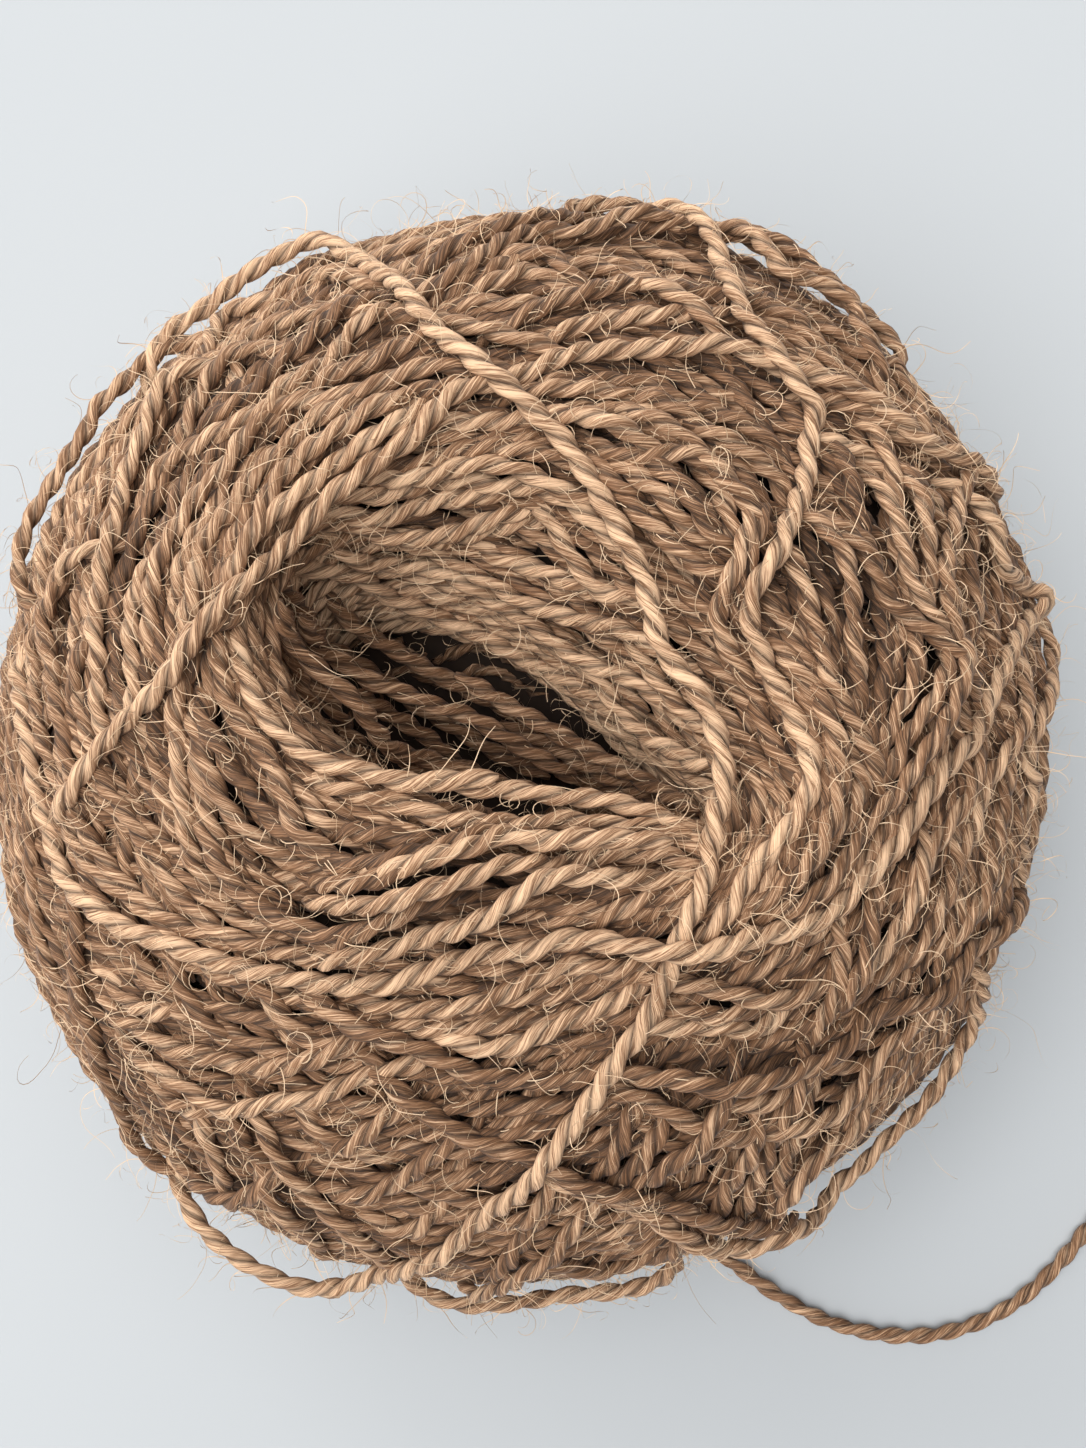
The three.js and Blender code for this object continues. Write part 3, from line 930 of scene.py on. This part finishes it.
NEAR_FLANK = [
    [(430, 1048), (460, 1054), (493, 1060), (523, 1054), (549, 1039), (574, 1029), (605, 1019),
     (631, 1006), (655, 990)],
    [(330, 1008), (365, 1014), (401, 1019), (452, 1015), (493, 1006), (523, 990), (554, 978),
     (590, 972), (605, 978), (643, 970), (675, 958)],
    [(630, 1045), (660, 1041), (694, 1039), (733, 1038), (765, 1044), (790, 1030), (812, 1008)],
    [(650, 1012), (685, 1019), (720, 1023), (755, 1018), (790, 1005)],
    [(650, 985), (685, 991), (732, 998), (771, 1006), (804, 1005), (835, 995), (862, 978)],
    [(108, 930), (117, 950), (133, 983), (153, 1008), (173, 1034), (196, 1060)],
    [(145, 950), (156, 968), (168, 996), (189, 1024), (209, 1049), (228, 1068)],
    [(80, 980), (95, 992), (107, 1008), (133, 1017), (162, 1021)],
    [(235, 975), (250, 993), (268, 1013), (283, 1034), (306, 1052), (335, 1060), (362, 1072)],
    [(270, 982), (290, 995), (314, 1013), (344, 1029), (372, 1040), (402, 1055)],
    [(88, 1010), (110, 1029), (133, 1039), (153, 1054), (179, 1064), (212, 1075), (242, 1080),
     (281, 1075), (319, 1062), (348, 1052)],
    [(130, 1090), (143, 1103), (166, 1116), (191, 1123), (215, 1132)],
    [(190, 1125), (200, 1145), (212, 1169), (224, 1192)],
    [(212, 1112), (223, 1130), (238, 1157), (260, 1180)],
    [(140, 1135), (158, 1154), (184, 1174), (217, 1190), (242, 1197), (265, 1188), (290, 1180)],
    [(262, 1190), (279, 1208), (299, 1228), (319, 1253), (345, 1272)],
    [(232, 1108), (246, 1126), (260, 1146), (276, 1169), (293, 1189), (319, 1215), (350, 1240),
     (378, 1262)],
    [(280, 1112), (297, 1128), (319, 1151), (352, 1169), (385, 1184)],
    [(338, 1160), (352, 1152), (368, 1139), (386, 1126), (408, 1114)],
    [(335, 1203), (355, 1204), (385, 1200), (408, 1188), (427, 1169), (446, 1158), (466, 1148)],
    [(375, 1236), (393, 1242), (414, 1243), (432, 1230)],
    [(100, 1035), (122, 1059), (148, 1075), (179, 1095), (204, 1110), (224, 1118), (255, 1113),
     (286, 1110), (311, 1110), (339, 1095), (370, 1085), (401, 1078), (430, 1068)],
    [(395, 1285), (430, 1297), (465, 1305), (507, 1304), (558, 1296), (609, 1292), (647, 1285),
     (670, 1273), (685, 1256), (700, 1232)],
    [(520, 1262), (563, 1272), (595, 1275), (630, 1272), (662, 1262), (680, 1245)],
    [(505, 1270), (518, 1257), (533, 1238), (550, 1220), (572, 1200)],
    [(485, 1286), (503, 1280), (527, 1269), (550, 1260), (568, 1244), (585, 1229), (605, 1208)],
    [(500, 1238), (520, 1229), (537, 1218), (553, 1199)],
    [(600, 1190), (614, 1172), (624, 1149), (634, 1130), (650, 1108)],
    [(622, 1195), (634, 1180), (648, 1162), (662, 1140), (680, 1118)],
    [(668, 1150), (685, 1155), (711, 1161), (749, 1154), (780, 1145)],
    [(700, 1145), (720, 1140), (746, 1139), (774, 1130), (800, 1125)],
    [(715, 1108), (735, 1113), (762, 1115), (792, 1107), (815, 1098)],
    [(600, 1112), (631, 1105), (656, 1111), (687, 1121), (715, 1128)],
    [(716, 1220), (724, 1206), (736, 1182), (748, 1160), (758, 1135)],
    [(765, 1210), (776, 1194), (788, 1169), (801, 1146), (814, 1122), (830, 1095)],
    [(742, 1215), (752, 1200), (768, 1172), (785, 1140), (799, 1112), (812, 1085), (822, 1062)],
    [(775, 1200), (790, 1183), (812, 1162), (836, 1147), (862, 1132), (885, 1110)],
    [(640, 1192), (655, 1176), (673, 1154), (696, 1138), (709, 1115), (724, 1099), (738, 1080)],
    [(835, 1037), (841, 1016), (848, 995), (856, 964), (861, 938)],
    [(851, 1016), (861, 988), (872, 964), (879, 944), (887, 918), (900, 892), (908, 874)],
    [(882, 995), (892, 969), (903, 949), (913, 925), (923, 902), (931, 879), (942, 856)],
    [(913, 985), (929, 959), (942, 944), (954, 920), (965, 900), (973, 874), (975, 850)],
    [(965, 957), (980, 931), (991, 907), (998, 887), (1006, 861)],
    [(790, 1135), (825, 1122), (848, 1112), (866, 1099), (884, 1078), (902, 1058), (921, 1037),
     (942, 1014), (962, 990), (975, 965)],
    [(545, 1185), (570, 1196), (609, 1201), (642, 1217), (670, 1225), (700, 1232), (735, 1228)],
    [(370, 1082), (393, 1098), (419, 1118), (447, 1135), (475, 1150), (510, 1161), (545, 1172),
     (592, 1190), (631, 1197), (669, 1205), (700, 1212), (740, 1215), (778, 1205), (815, 1194)],
    [(715, 1232), (745, 1222), (778, 1205), (809, 1197), (837, 1184), (862, 1166), (880, 1146),
     (903, 1125), (929, 1099), (947, 1072), (962, 1045), (978, 1017), (985, 988)],
    [(45, 880), (56, 919), (61, 950), (66, 983), (71, 1013), (84, 1042), (94, 1070), (110, 1098),
     (120, 1121), (135, 1144), (153, 1164), (175, 1192)],
    [(305, 1005), (350, 1029), (385, 1042), (420, 1057), (450, 1074), (480, 1087), (520, 1092),
     (574, 1093), (605, 1084), (640, 1084), (680, 1078), (720, 1083), (765, 1076), (800, 1074),
     (841, 1060), (866, 1046), (890, 1024), (921, 1011), (945, 1000), (962, 980), (980, 958),
     (1004, 933), (1022, 905)],
]
BESIDE_THE_LEFT_CROSSING = [
    (160, 650), (180, 632), (222, 619), (242, 602), (262, 585), (285, 560), (296, 548),
]
OVER_THE_LEFT_END = [
    (45, 812), (59, 796), (71, 776), (89, 747), (110, 725), (130, 707), (151, 689), (173, 666),
    (194, 638), (217, 610), (238, 587), (265, 566), (288, 543), (311, 522), (318, 505), (341, 488),
    (363, 472), (389, 450), (414, 435), (432, 414), (447, 396), (470, 383), (514, 369), (547, 353),
    (572, 343), (604, 338), (645, 339), (690, 340), (732, 341), (753, 348), (775, 357), (822, 372),
    (846, 387), (872, 403), (895, 421), (913, 438), (945, 456), (970, 470), (990, 492),
]
WAVY_TURN = [
    (640, 204), (680, 220), (700, 236), (720, 255), (733, 281), (746, 309), (762, 335), (784, 366),
    (804, 387), (821, 404), (816, 430), (815, 460), (806, 490), (793, 518), (780, 550), (760, 578),
    (751, 602), (750, 625), (757, 650), (764, 676), (778, 702), (792, 730), (804, 750), (812, 775),
    (804, 798), (788, 822), (768, 845), (758, 868), (748, 890), (735, 915), (717, 936), (697, 952),
    (676, 966),
]
OVER_THE_RIGHT_END = [
    (150, 365), (175, 338), (196, 318), (230, 287), (263, 264), (293, 249), (321, 237), (345, 243),
    (370, 257), (391, 268), (407, 290), (424, 310), (442, 333), (463, 348), (483, 369), (506, 384),
    (526, 402), (544, 422), (565, 440), (577, 461), (593, 483), (606, 507), (619, 527), (632, 553),
    (643, 577), (651, 603), (654, 625), (660, 648), (674, 666), (692, 682), (704, 700), (713, 723),
    (722, 748), (725, 772), (722, 797), (714, 822), (709, 848), (706, 870), (703, 893), (692, 917),
    (681, 945), (671, 973), (661, 998), (651, 1024), (634, 1050), (615, 1070), (603, 1095),
    (585, 1116), (567, 1136), (549, 1156), (532, 1180), (513, 1202), (489, 1225), (460, 1248),
    (430, 1265), (393, 1273), (355, 1284), (325, 1290), (295, 1287), (270, 1275), (250, 1267),
    (230, 1252), (212, 1238), (197, 1223), (182, 1206), (165, 1185),
]
LONG_TURN = [
    (8, 640), (2, 668), (6, 700), (10, 730), (15, 755), (16, 781), (20, 806), (28, 835), (38, 866),
    (56, 895), (77, 911), (102, 927), (128, 939), (153, 947), (179, 957), (212, 968), (242, 975),
    (268, 980), (300, 987), (330, 991), (362, 991), (392, 989), (421, 978), (452, 968), (493, 958),
    (523, 959), (554, 947), (592, 943), (631, 948), (669, 952), (719, 951), (745, 944), (771, 941),
    (797, 938), (825, 928), (848, 915), (872, 892), (892, 871), (913, 848), (929, 817), (946, 788),
    (966, 761), (990, 739), (1002, 718), (1010, 695), (1018, 672), (1025, 648), (1034, 623),
    (1048, 604), (1044, 592), (1030, 583), (1014, 572), (1003, 549), (990, 522), (972, 498),
]


SHELL_RISE = 0.0012
SHELL_LOWEST = -70
SHELL_ROWS = 220
SHELL_COLUMNS = 300
NEAREST, FARTHEST = 0.13, 0.22
MISS_TRIES = 45


def shell_body():
    """The surface that the pixels are cast on, a little outside the wound form."""
    latitudes = np.linspace(SHELL_LOWEST, 90, SHELL_ROWS)
    bearings = np.arange(SHELL_COLUMNS) * (360 / SHELL_COLUMNS)
    directions = sphere_direction(*np.meshgrid(bearings, latitudes)).reshape(-1, 3)
    points = form_points(directions) + form_normals(directions) * SHELL_RISE
    index = np.arange(len(points)).reshape(len(latitudes), len(bearings))
    return directions, points, ring_faces(index).tolist()


shell_directions, shell_points, shell_faces = shell_body()
shell = bvhtree.BVHTree.FromPolygons(shell_points.tolist(), shell_faces)
eye = camera.matrix_world.translation


def ray_through(x, y):
    across, up = x - PICTURE_MIDDLE[0], PICTURE_MIDDLE[1] - y
    return looking * FOCAL_PIXELS + to_right * across + picture_up * up


def cast(x, y):
    """The spot on the ball that a picture pixel shows, and how far a miss passes from it."""
    ray = ray_through(x, y).normalized()
    spot, _, face, _ = shell.ray_cast(eye, ray)
    gap = 0.0
    if spot is None:
        reaches = np.linspace(NEAREST, FARTHEST, MISS_TRIES)
        tries = [shell.find_nearest(eye + ray * reach) for reach in reaches]
        spot, _, face, gap = min(tries, key=lambda near: near[3])
    corners = shell_faces[face]
    weights = poly_3d_calc([Vector(shell_points[corner]) for corner in corners], spot)
    return np.asarray(weights) @ shell_directions[corners], gap


def line_of(strand):
    if "line" in strand:
        return strand["line"]
    return strand["base"] + strand["normal"] * strand["height"][:, None]


HOLLOW_EDGE = 61
ROUNDING = 15
JOINT_WIDTH = 7


def rounded(directions, off_the_edge):
    """Rounds a strand's path where it turns along the edge of what the picture shows."""
    window = np.hanning(ROUNDING + 2)[1:-1]
    window = window / window.sum()
    soft = np.stack([blended(column, window) for column in directions.T], 1)
    share = np.clip(blended(off_the_edge.astype(float), window) * 2, 0, 1)[:, None]
    return unit(directions * (1 - share) + soft * share)


def follow(route, group, bridging=False, run_on=RUN_ON, tone=None):
    """Lays a strand where the picture shows it. A bridging one passes over the hollow."""
    route = np.asarray(route, float)
    first = route[0] + unit(route[0] - route[1]) * run_on
    last = route[-1] + unit(route[-1] - route[-2]) * run_on
    pixels = smooth_line(np.vstack((first, route, last)), ROUTE_STEP)
    spots = [cast(x, y) for x, y in pixels]
    directions = unit(np.array([spot for spot, _ in spots]))
    gaps = np.array([gap for _, gap in spots])
    directions = rounded(directions, gaps > 0)
    floor_height = np.where(gaps > 0, BED_DEPTH + SHELL_RISE + gaps, 0)
    inside = np.flatnonzero(degrees_of(directions)[0] > HOLLOW_EDGE)
    start, end = (inside[0], inside[-1] + 1) if len(inside) else (0, 0)
    starts_outside, ends_outside = start > 2, len(pixels) - end > 2
    if not bridging or not len(inside) or not (starts_outside or ends_outside):
        lay(directions, group, floor_height)["tone"] = tone
        return
    parts = []
    if starts_outside:
        parts.append(lay(directions[:start], group, floor_height[:start], (True, False)))
    if ends_outside:
        parts.append(lay(directions[end:], group, floor_height[end:], (False, True)))
    lines = [line_of(part) for part in parts]
    ups = [part["normal"] for part in parts]
    leave = lines[0][-1, 2] if starts_outside else lines[-1][0, 2]
    arrive = lines[-1][0, 2] if ends_outside else leave
    heights = np.linspace(leave, arrive, end - start + 2)[1:-1]
    rays = [ray_through(x, y) for x, y in pixels[start:end]]
    air = np.array([eye + ray * ((height - eye.z) / ray.z) for ray, height in zip(rays, heights)])
    at = 1 if starts_outside else 0
    lines.insert(at, air)
    ups.insert(at, np.tile((0.0, 0.0, 1.0), (len(air), 1)))
    del laid_strands[-len(parts):]
    line, up = evenly(np.concatenate(lines), LAY_STEP, np.concatenate(lines), np.concatenate(ups))
    joint = np.ones(JOINT_WIDTH) / JOINT_WIDTH
    line, up = (
        np.stack([blended(column, joint) for column in values.T], 1) for values in (line, up)
    )
    laid_strands.append({"group": group, "line": line, "up": up, "tone": tone})


INSIDE_THE_HOLLOW = [
    [(275, 600, 58), (289, 640, 55), (296, 665, 53), (307, 700, 50), (327, 735, 47), (352, 752, 44),
     (380, 765, 40)],
    [(355, 690, 46), (383, 710, 43), (409, 725, 41), (434, 742, 39), (455, 761, 37),
     (490, 780, 34)],
    [(378, 745, 50), (403, 753, 48), (434, 761, 46), (460, 771, 45), (490, 781, 44), (523, 789, 43),
     (560, 797, 42)],
    [(268, 575, 60), (284, 590, 55), (301, 610, 51), (314, 630, 48), (325, 655, 44)],
    [(283, 605, 58), (296, 654, 52), (314, 682, 50), (332, 705, 48), (345, 728, 45), (365, 753, 42),
     (385, 775, 38)],
    [(300, 615, 56), (319, 646, 51), (345, 664, 49), (373, 682, 48), (409, 695, 47), (439, 707, 46),
     (472, 717, 45), (498, 733, 44), (523, 748, 43), (549, 763, 42), (580, 782, 40)],
    [(280, 600, 61), (284, 625, 59), (292, 643, 57), (311, 663, 56), (335, 684, 55), (357, 703, 54),
     (370, 722, 52), (384, 742, 50), (403, 757, 47), (435, 775, 43)],
    [(325, 590, 47), (350, 622, 45), (395, 650, 42), (440, 676, 39), (490, 700, 37), (545, 728, 37),
     (590, 752, 40)],
    [(320, 640, 40), (365, 668, 38), (410, 700, 36), (455, 728, 34), (500, 755, 33),
     (550, 778, 34)],
    [(455, 674, 44), (520, 712, 42), (590, 752, 42), (650, 785, 45), (700, 812, 50)],
    [(500, 722, 39), (560, 752, 39), (620, 782, 41), (680, 812, 46), (710, 830, 50)],
    [(545, 762, 37), (600, 785, 38), (650, 806, 42), (700, 832, 48)],
]


SPAN_TONE = -0.2


def span(route, group):
    """Draws a strand through the air inside the hollow: pixels, with heights in mm."""
    points = []
    for x, y, height in route:
        ray = ray_through(x, y)
        points.append(eye + ray * ((height * MM - eye.z) / ray.z))
    line = smooth_line(points, LAY_STEP)
    up = np.tile((0.0, 0.0, 1.0), (len(line), 1))
    laid_strands.append({"group": group, "line": line, "up": up, "tone": SPAN_TONE})


# The far wall of the hollow is painted lighter than the other last turns, as painted light.
for route in HOLLOW_FAR_WALL:
    follow(route, "last", run_on=12, tone=0.8)
for routes in (CROWN_FAR_SIDE, CROWN_NEAR_HOLLOW, LEFT_SIDE, RIGHT_SHOULDER):
    for route in routes:
        follow(route, "last")
    press(BED_DEPTH + YARN / 2)
for routes in (ROUND_THE_LEFT_END, NEAR_LIP, NEAR_FLANK):
    for route in routes:
        follow(route, "last", bridging=True)
for route in INSIDE_THE_HOLLOW:
    span(route, "last")
follow(BESIDE_THE_LEFT_CROSSING, "last")
# The four top turns are painted lighter, as painted light on the turns that stand highest.
follow(OVER_THE_LEFT_END, "top", bridging=True, tone=0.7)
follow(WAVY_TURN, "top", tone=0.9)
follow(OVER_THE_RIGHT_END, "top", bridging=True, tone=1.0)
follow(LONG_TURN, "top", tone=0.9)

# Stretches that lie too deep to be seen are left out, and the rest become strands.
HIDDEN_DEPTH = 0.4 * YARN
BARE_SHARE = 0.25
SHORTEST = 0.003
SEEN_MARGIN = 7
LOWEST_CENTRE = 0.55 * YARN
# Painted shade on a strand for each bit of depth under other strands.
DEPTH_PAINTED_SHADE = 1.3 / YARN
TONE_SPREAD = 0.33
THICKNESS_SPREAD = (0.95, 1.05)


def visible_runs(strand):
    """The stretches of a strand that can be seen, with how deep each point of them lies."""
    if "line" in strand:
        yield slice(0, len(strand["line"])), np.zeros(len(strand["line"]))
        return
    spots, _, starts = spots_under(form_points(strand["direction"]))
    counts = np.diff(np.append(starts, len(spots)))
    over = bed_height[spots] - np.repeat(strand["height"], counts) - YARN / 2
    depth = np.add.reduceat(np.maximum(over, 0), starts) / counts
    seen = np.add.reduceat((over < HIDDEN_DEPTH).astype(float), starts) / counts > BARE_SHARE
    seen = blended(seen, np.ones(SEEN_MARGIN)) > 0
    edges = np.flatnonzero(np.diff(np.concatenate(([0], seen.astype(int), [0]))))
    for start, end in zip(edges[::2], edges[1::2]):
        if (end - start) * LAY_STEP > SHORTEST:
            yield slice(start, end), depth[start:end]


PIECE_POINTS = 95000
FIBRE_OFFSETS = 50
# How each group of turns is made: step along it, corners round it, lightness, thickness and
# the loose fibres on each metre of it. The lightness is painted light and shade: lighter for the
# turns that stand highest and for the hollow, darker for the foot, flank, crown and under turns.
MAKES = {
    "under": (0.0014, ROUGH_ANGLES, -0.5, 1.0, 70),
    "foot": (0.0012, PLAIN_ANGLES, -0.1, 1.0, 260),
    "flank": (0.0010, PLAIN_ANGLES, -0.15, 1.0, 320),
    "crown": (0.00085, PLAIN_ANGLES, -0.35, 1.0, 640),
    "hollow": (0.0010, PLAIN_ANGLES, 0.6, 1.0, 640),
    "last": (RING_STEP, SECTION_ANGLES, 0.1, 1.05, 1250),
    "top": (RING_STEP, SECTION_ANGLES, 0.1, 1.1, 1400),
}

pieces = {}
fuzzy_lines = []
for strand in laid_strands:
    group = pieces.setdefault(strand["group"], [YarnMesh()])
    step, corners, group_tone, group_thickness, _ = MAKES[strand["group"]]
    tone = strand.get("tone") or draw.normal(group_tone, TONE_SPREAD)
    for run, depth in visible_runs(strand):
        normals = strand.get("up", strand.get("normal"))[run]
        line = line_of(strand)[run].copy()
        line[:, 2] = np.maximum(line[:, 2], LOWEST_CENTRE)
        if group[-1].count > PIECE_POINTS:
            group.append(YarnMesh())
        thickness = group_thickness * draw.uniform(*THICKNESS_SPREAD)
        # Painted shade: a strand that dips under others is darkened by how deep it lies.
        tone_along = tone - np.minimum(depth * DEPTH_PAINTED_SHADE, 1)
        offset = draw.uniform(0, FIBRE_OFFSETS, 3)
        group[-1].add(line, normals, tone_along, offset, thickness, step=step, corners=corners)
        fuzzy_lines.append((line, normals, strand["group"]))
for name, meshes in pieces.items():
    for number, mesh in enumerate(meshes):
        finish_piece(mesh.build(f"turns_{name}_{number + 1}"), yarn_finish)

# Loose fibres stand off the yarn everywhere. They are fine and pale, and curl the way they
# were bent in spinning. Each is a flat ribbon, as bast fibres are.
HAIR_WIDTH = 0.000072
HAIR_WIDTHS = (0.7, 1.2)
HAIR_TIP = 0.5
HAIR_SHORTEST, HAIR_MEAN_MORE, HAIR_LONGEST = 0.0018, 0.0019, 0.010
HAIR_ROOT = 0.38
HAIR_LEAN = 0.9
HAIR_LIFT = (0.1, 0.9)
HAIR_STRAY = 0.4
HAIR_CURL = (0.06, 0.27)
HAIR_WANDER = 0.075
CURL_STEP = 0.0007
CURL_STEPS_FEWEST = 4
HAIRS_MOST = 12200
HAIR_PIECES = 2
HAIR_COLOUR = (0.62, 0.44, 0.28)
HAIR_ROUGHNESS = 0.55


def hair_line(root, out, along, length, steps):
    """One curling fibre that leaves the strand between its own direction and outwards."""
    heading = out * draw.uniform(*HAIR_LIFT) + along * draw.choice((-1, 1))
    heading = unit(heading + draw.normal(0, HAIR_STRAY, 3))
    curl = draw.normal(0, 1, 3) * draw.uniform(*HAIR_CURL)
    points = [root]
    for _ in range(steps):
        curl = curl + draw.normal(0, HAIR_WANDER, 3)
        heading = unit(heading + np.cross(curl, heading))
        points.append(points[-1] + heading * length / steps)
    return np.array(points)


def hair_mesh(name, hairs):
    points, faces, count = [], [], 0
    for line, width in hairs:
        forward = unit(np.gradient(line, axis=0))
        side = unit(np.cross(forward, draw.normal(0, 1, 3)))
        half = width / 2 * np.linspace(1, HAIR_TIP, len(line))[:, None]
        points.append(np.stack((line - side * half, line + side * half), 1).reshape(-1, 3))
        index = np.arange(len(line) * 2).reshape(-1, 2) + count
        faces.append(np.stack((index[:-1, 0], index[:-1, 1], index[1:, 1], index[1:, 0]), -1))
        count += len(line) * 2
    return smooth_piece(name, np.concatenate(points), np.concatenate(faces).tolist())


hair_finish = bpy.data.materials.new("loose fibres")
hair_finish.use_nodes = True
hair_shader = hair_finish.node_tree.nodes["Principled BSDF"]
hair_shader.inputs["Base Color"].default_value = (*HAIR_COLOUR, 1)
hair_shader.inputs["Roughness"].default_value = HAIR_ROUGHNESS

hairs = []
for line, normals, group in fuzzy_lines:
    length = lengths_along(line)[-1]
    count = draw.poisson(length * MAKES[group][-1])
    directions = unit(np.gradient(line, axis=0))
    for at in draw.integers(1, len(line) - 1, count):
        sideways = np.cross(normals[at], directions[at])
        out = unit(normals[at] + HAIR_LEAN * sideways * draw.uniform(-1, 1))
        size = min(HAIR_SHORTEST + draw.exponential(HAIR_MEAN_MORE), HAIR_LONGEST)
        steps = int(round(CURL_STEPS_FEWEST + size / CURL_STEP))
        hair = hair_line(line[at] + out * YARN * HAIR_ROOT, out, directions[at], size, steps)
        hair[:, 2] = np.maximum(hair[:, 2], HAIR_WIDTH)
        hairs.append((hair, HAIR_WIDTH * draw.uniform(*HAIR_WIDTHS)))
order = draw.permutation(len(hairs))[:HAIRS_MOST]
for number in range(HAIR_PIECES):
    chosen = [hairs[k] for k in order[number::HAIR_PIECES]]
    finish_piece(hair_mesh(f"loose_fibres_{number + 1}", chosen), hair_finish)

# A plain pale floor in a bright room. Daylight comes in low through windows behind and on
# the left, and more of it falls from the pale ceiling.
FLOOR_SIZE = 6.0
FLOOR_COLOUR = (0.415, 0.434, 0.449)
WALL_COLOUR = (0.66, 0.70, 0.72)
WINDOW_LIGHT = (1.0, 0.985, 0.96)
CEILING_LIGHT = (1.0, 1.0, 1.0)
ROOM_LIGHT = (0.92, 0.96, 1.0)
ROOM_STRENGTH = 0.19
LIT_HEIGHT = 0.03


def floor_material():
    material = bpy.data.materials.new("pale floor")
    material.use_nodes = True
    shader = material.node_tree.nodes["Principled BSDF"]
    shader.inputs["Base Color"].default_value = (*FLOOR_COLOUR, 1)
    shader.inputs["Roughness"].default_value = 0.9
    return material


bpy.ops.mesh.primitive_plane_add(size=FLOOR_SIZE)
floor = bpy.context.object
floor.name = "floor"
floor.data.materials.append(floor_material())


def area_light(name, place, size, power, colour):
    light = bpy.data.lights.new(name, "AREA")
    light.size = size
    light.energy = power
    light.color = colour
    holder = bpy.data.objects.new(name, light)
    holder.location = place
    aim = Vector((0, 0, LIT_HEIGHT)) - place
    holder.rotation_euler = aim.to_track_quat("-Z", "Y").to_euler()
    scene.collection.objects.link(holder)


area_light("left window", -to_right * 2.15 + away * 1.81 + above * 1.31, 2.6, 65.0, WINDOW_LIGHT)
area_light("far window", -to_right * 0.49 + away * 2.77 + above * 1.31, 2.6, 49.0, WINDOW_LIGHT)
area_light("near window", -to_right * 2.15 - away * 1.81 + above * 1.31, 2.6, 22.0, WINDOW_LIGHT)
area_light("ceiling", -to_right * 0.81 - away * 0.68 + above * 2.91, 2.6, 98.0, CEILING_LIGHT)
area_light("far ceiling", above * 3.1, 3.0, 39.0, CEILING_LIGHT)
world = bpy.data.worlds.new("room")
world.use_nodes = True
room_nodes, room_links = world.node_tree.nodes, world.node_tree.links
room_nodes["Background"].inputs["Color"].default_value = (*ROOM_LIGHT, 1)
room_nodes["Background"].inputs["Strength"].default_value = ROOM_STRENGTH
wall = room_nodes.new("ShaderNodeBackground")
wall.inputs["Color"].default_value = (*WALL_COLOUR, 1)
seen_directly = room_nodes.new("ShaderNodeLightPath")
room = room_nodes.new("ShaderNodeMixShader")
room_links.new(seen_directly.outputs["Is Camera Ray"], room.inputs[0])
room_links.new(room_nodes["Background"].outputs[0], room.inputs[1])
room_links.new(wall.outputs[0], room.inputs[2])
room_links.new(room.outputs[0], room_nodes["World Output"].inputs["Surface"])
scene.world = world
scene.view_settings.view_transform = "Standard"
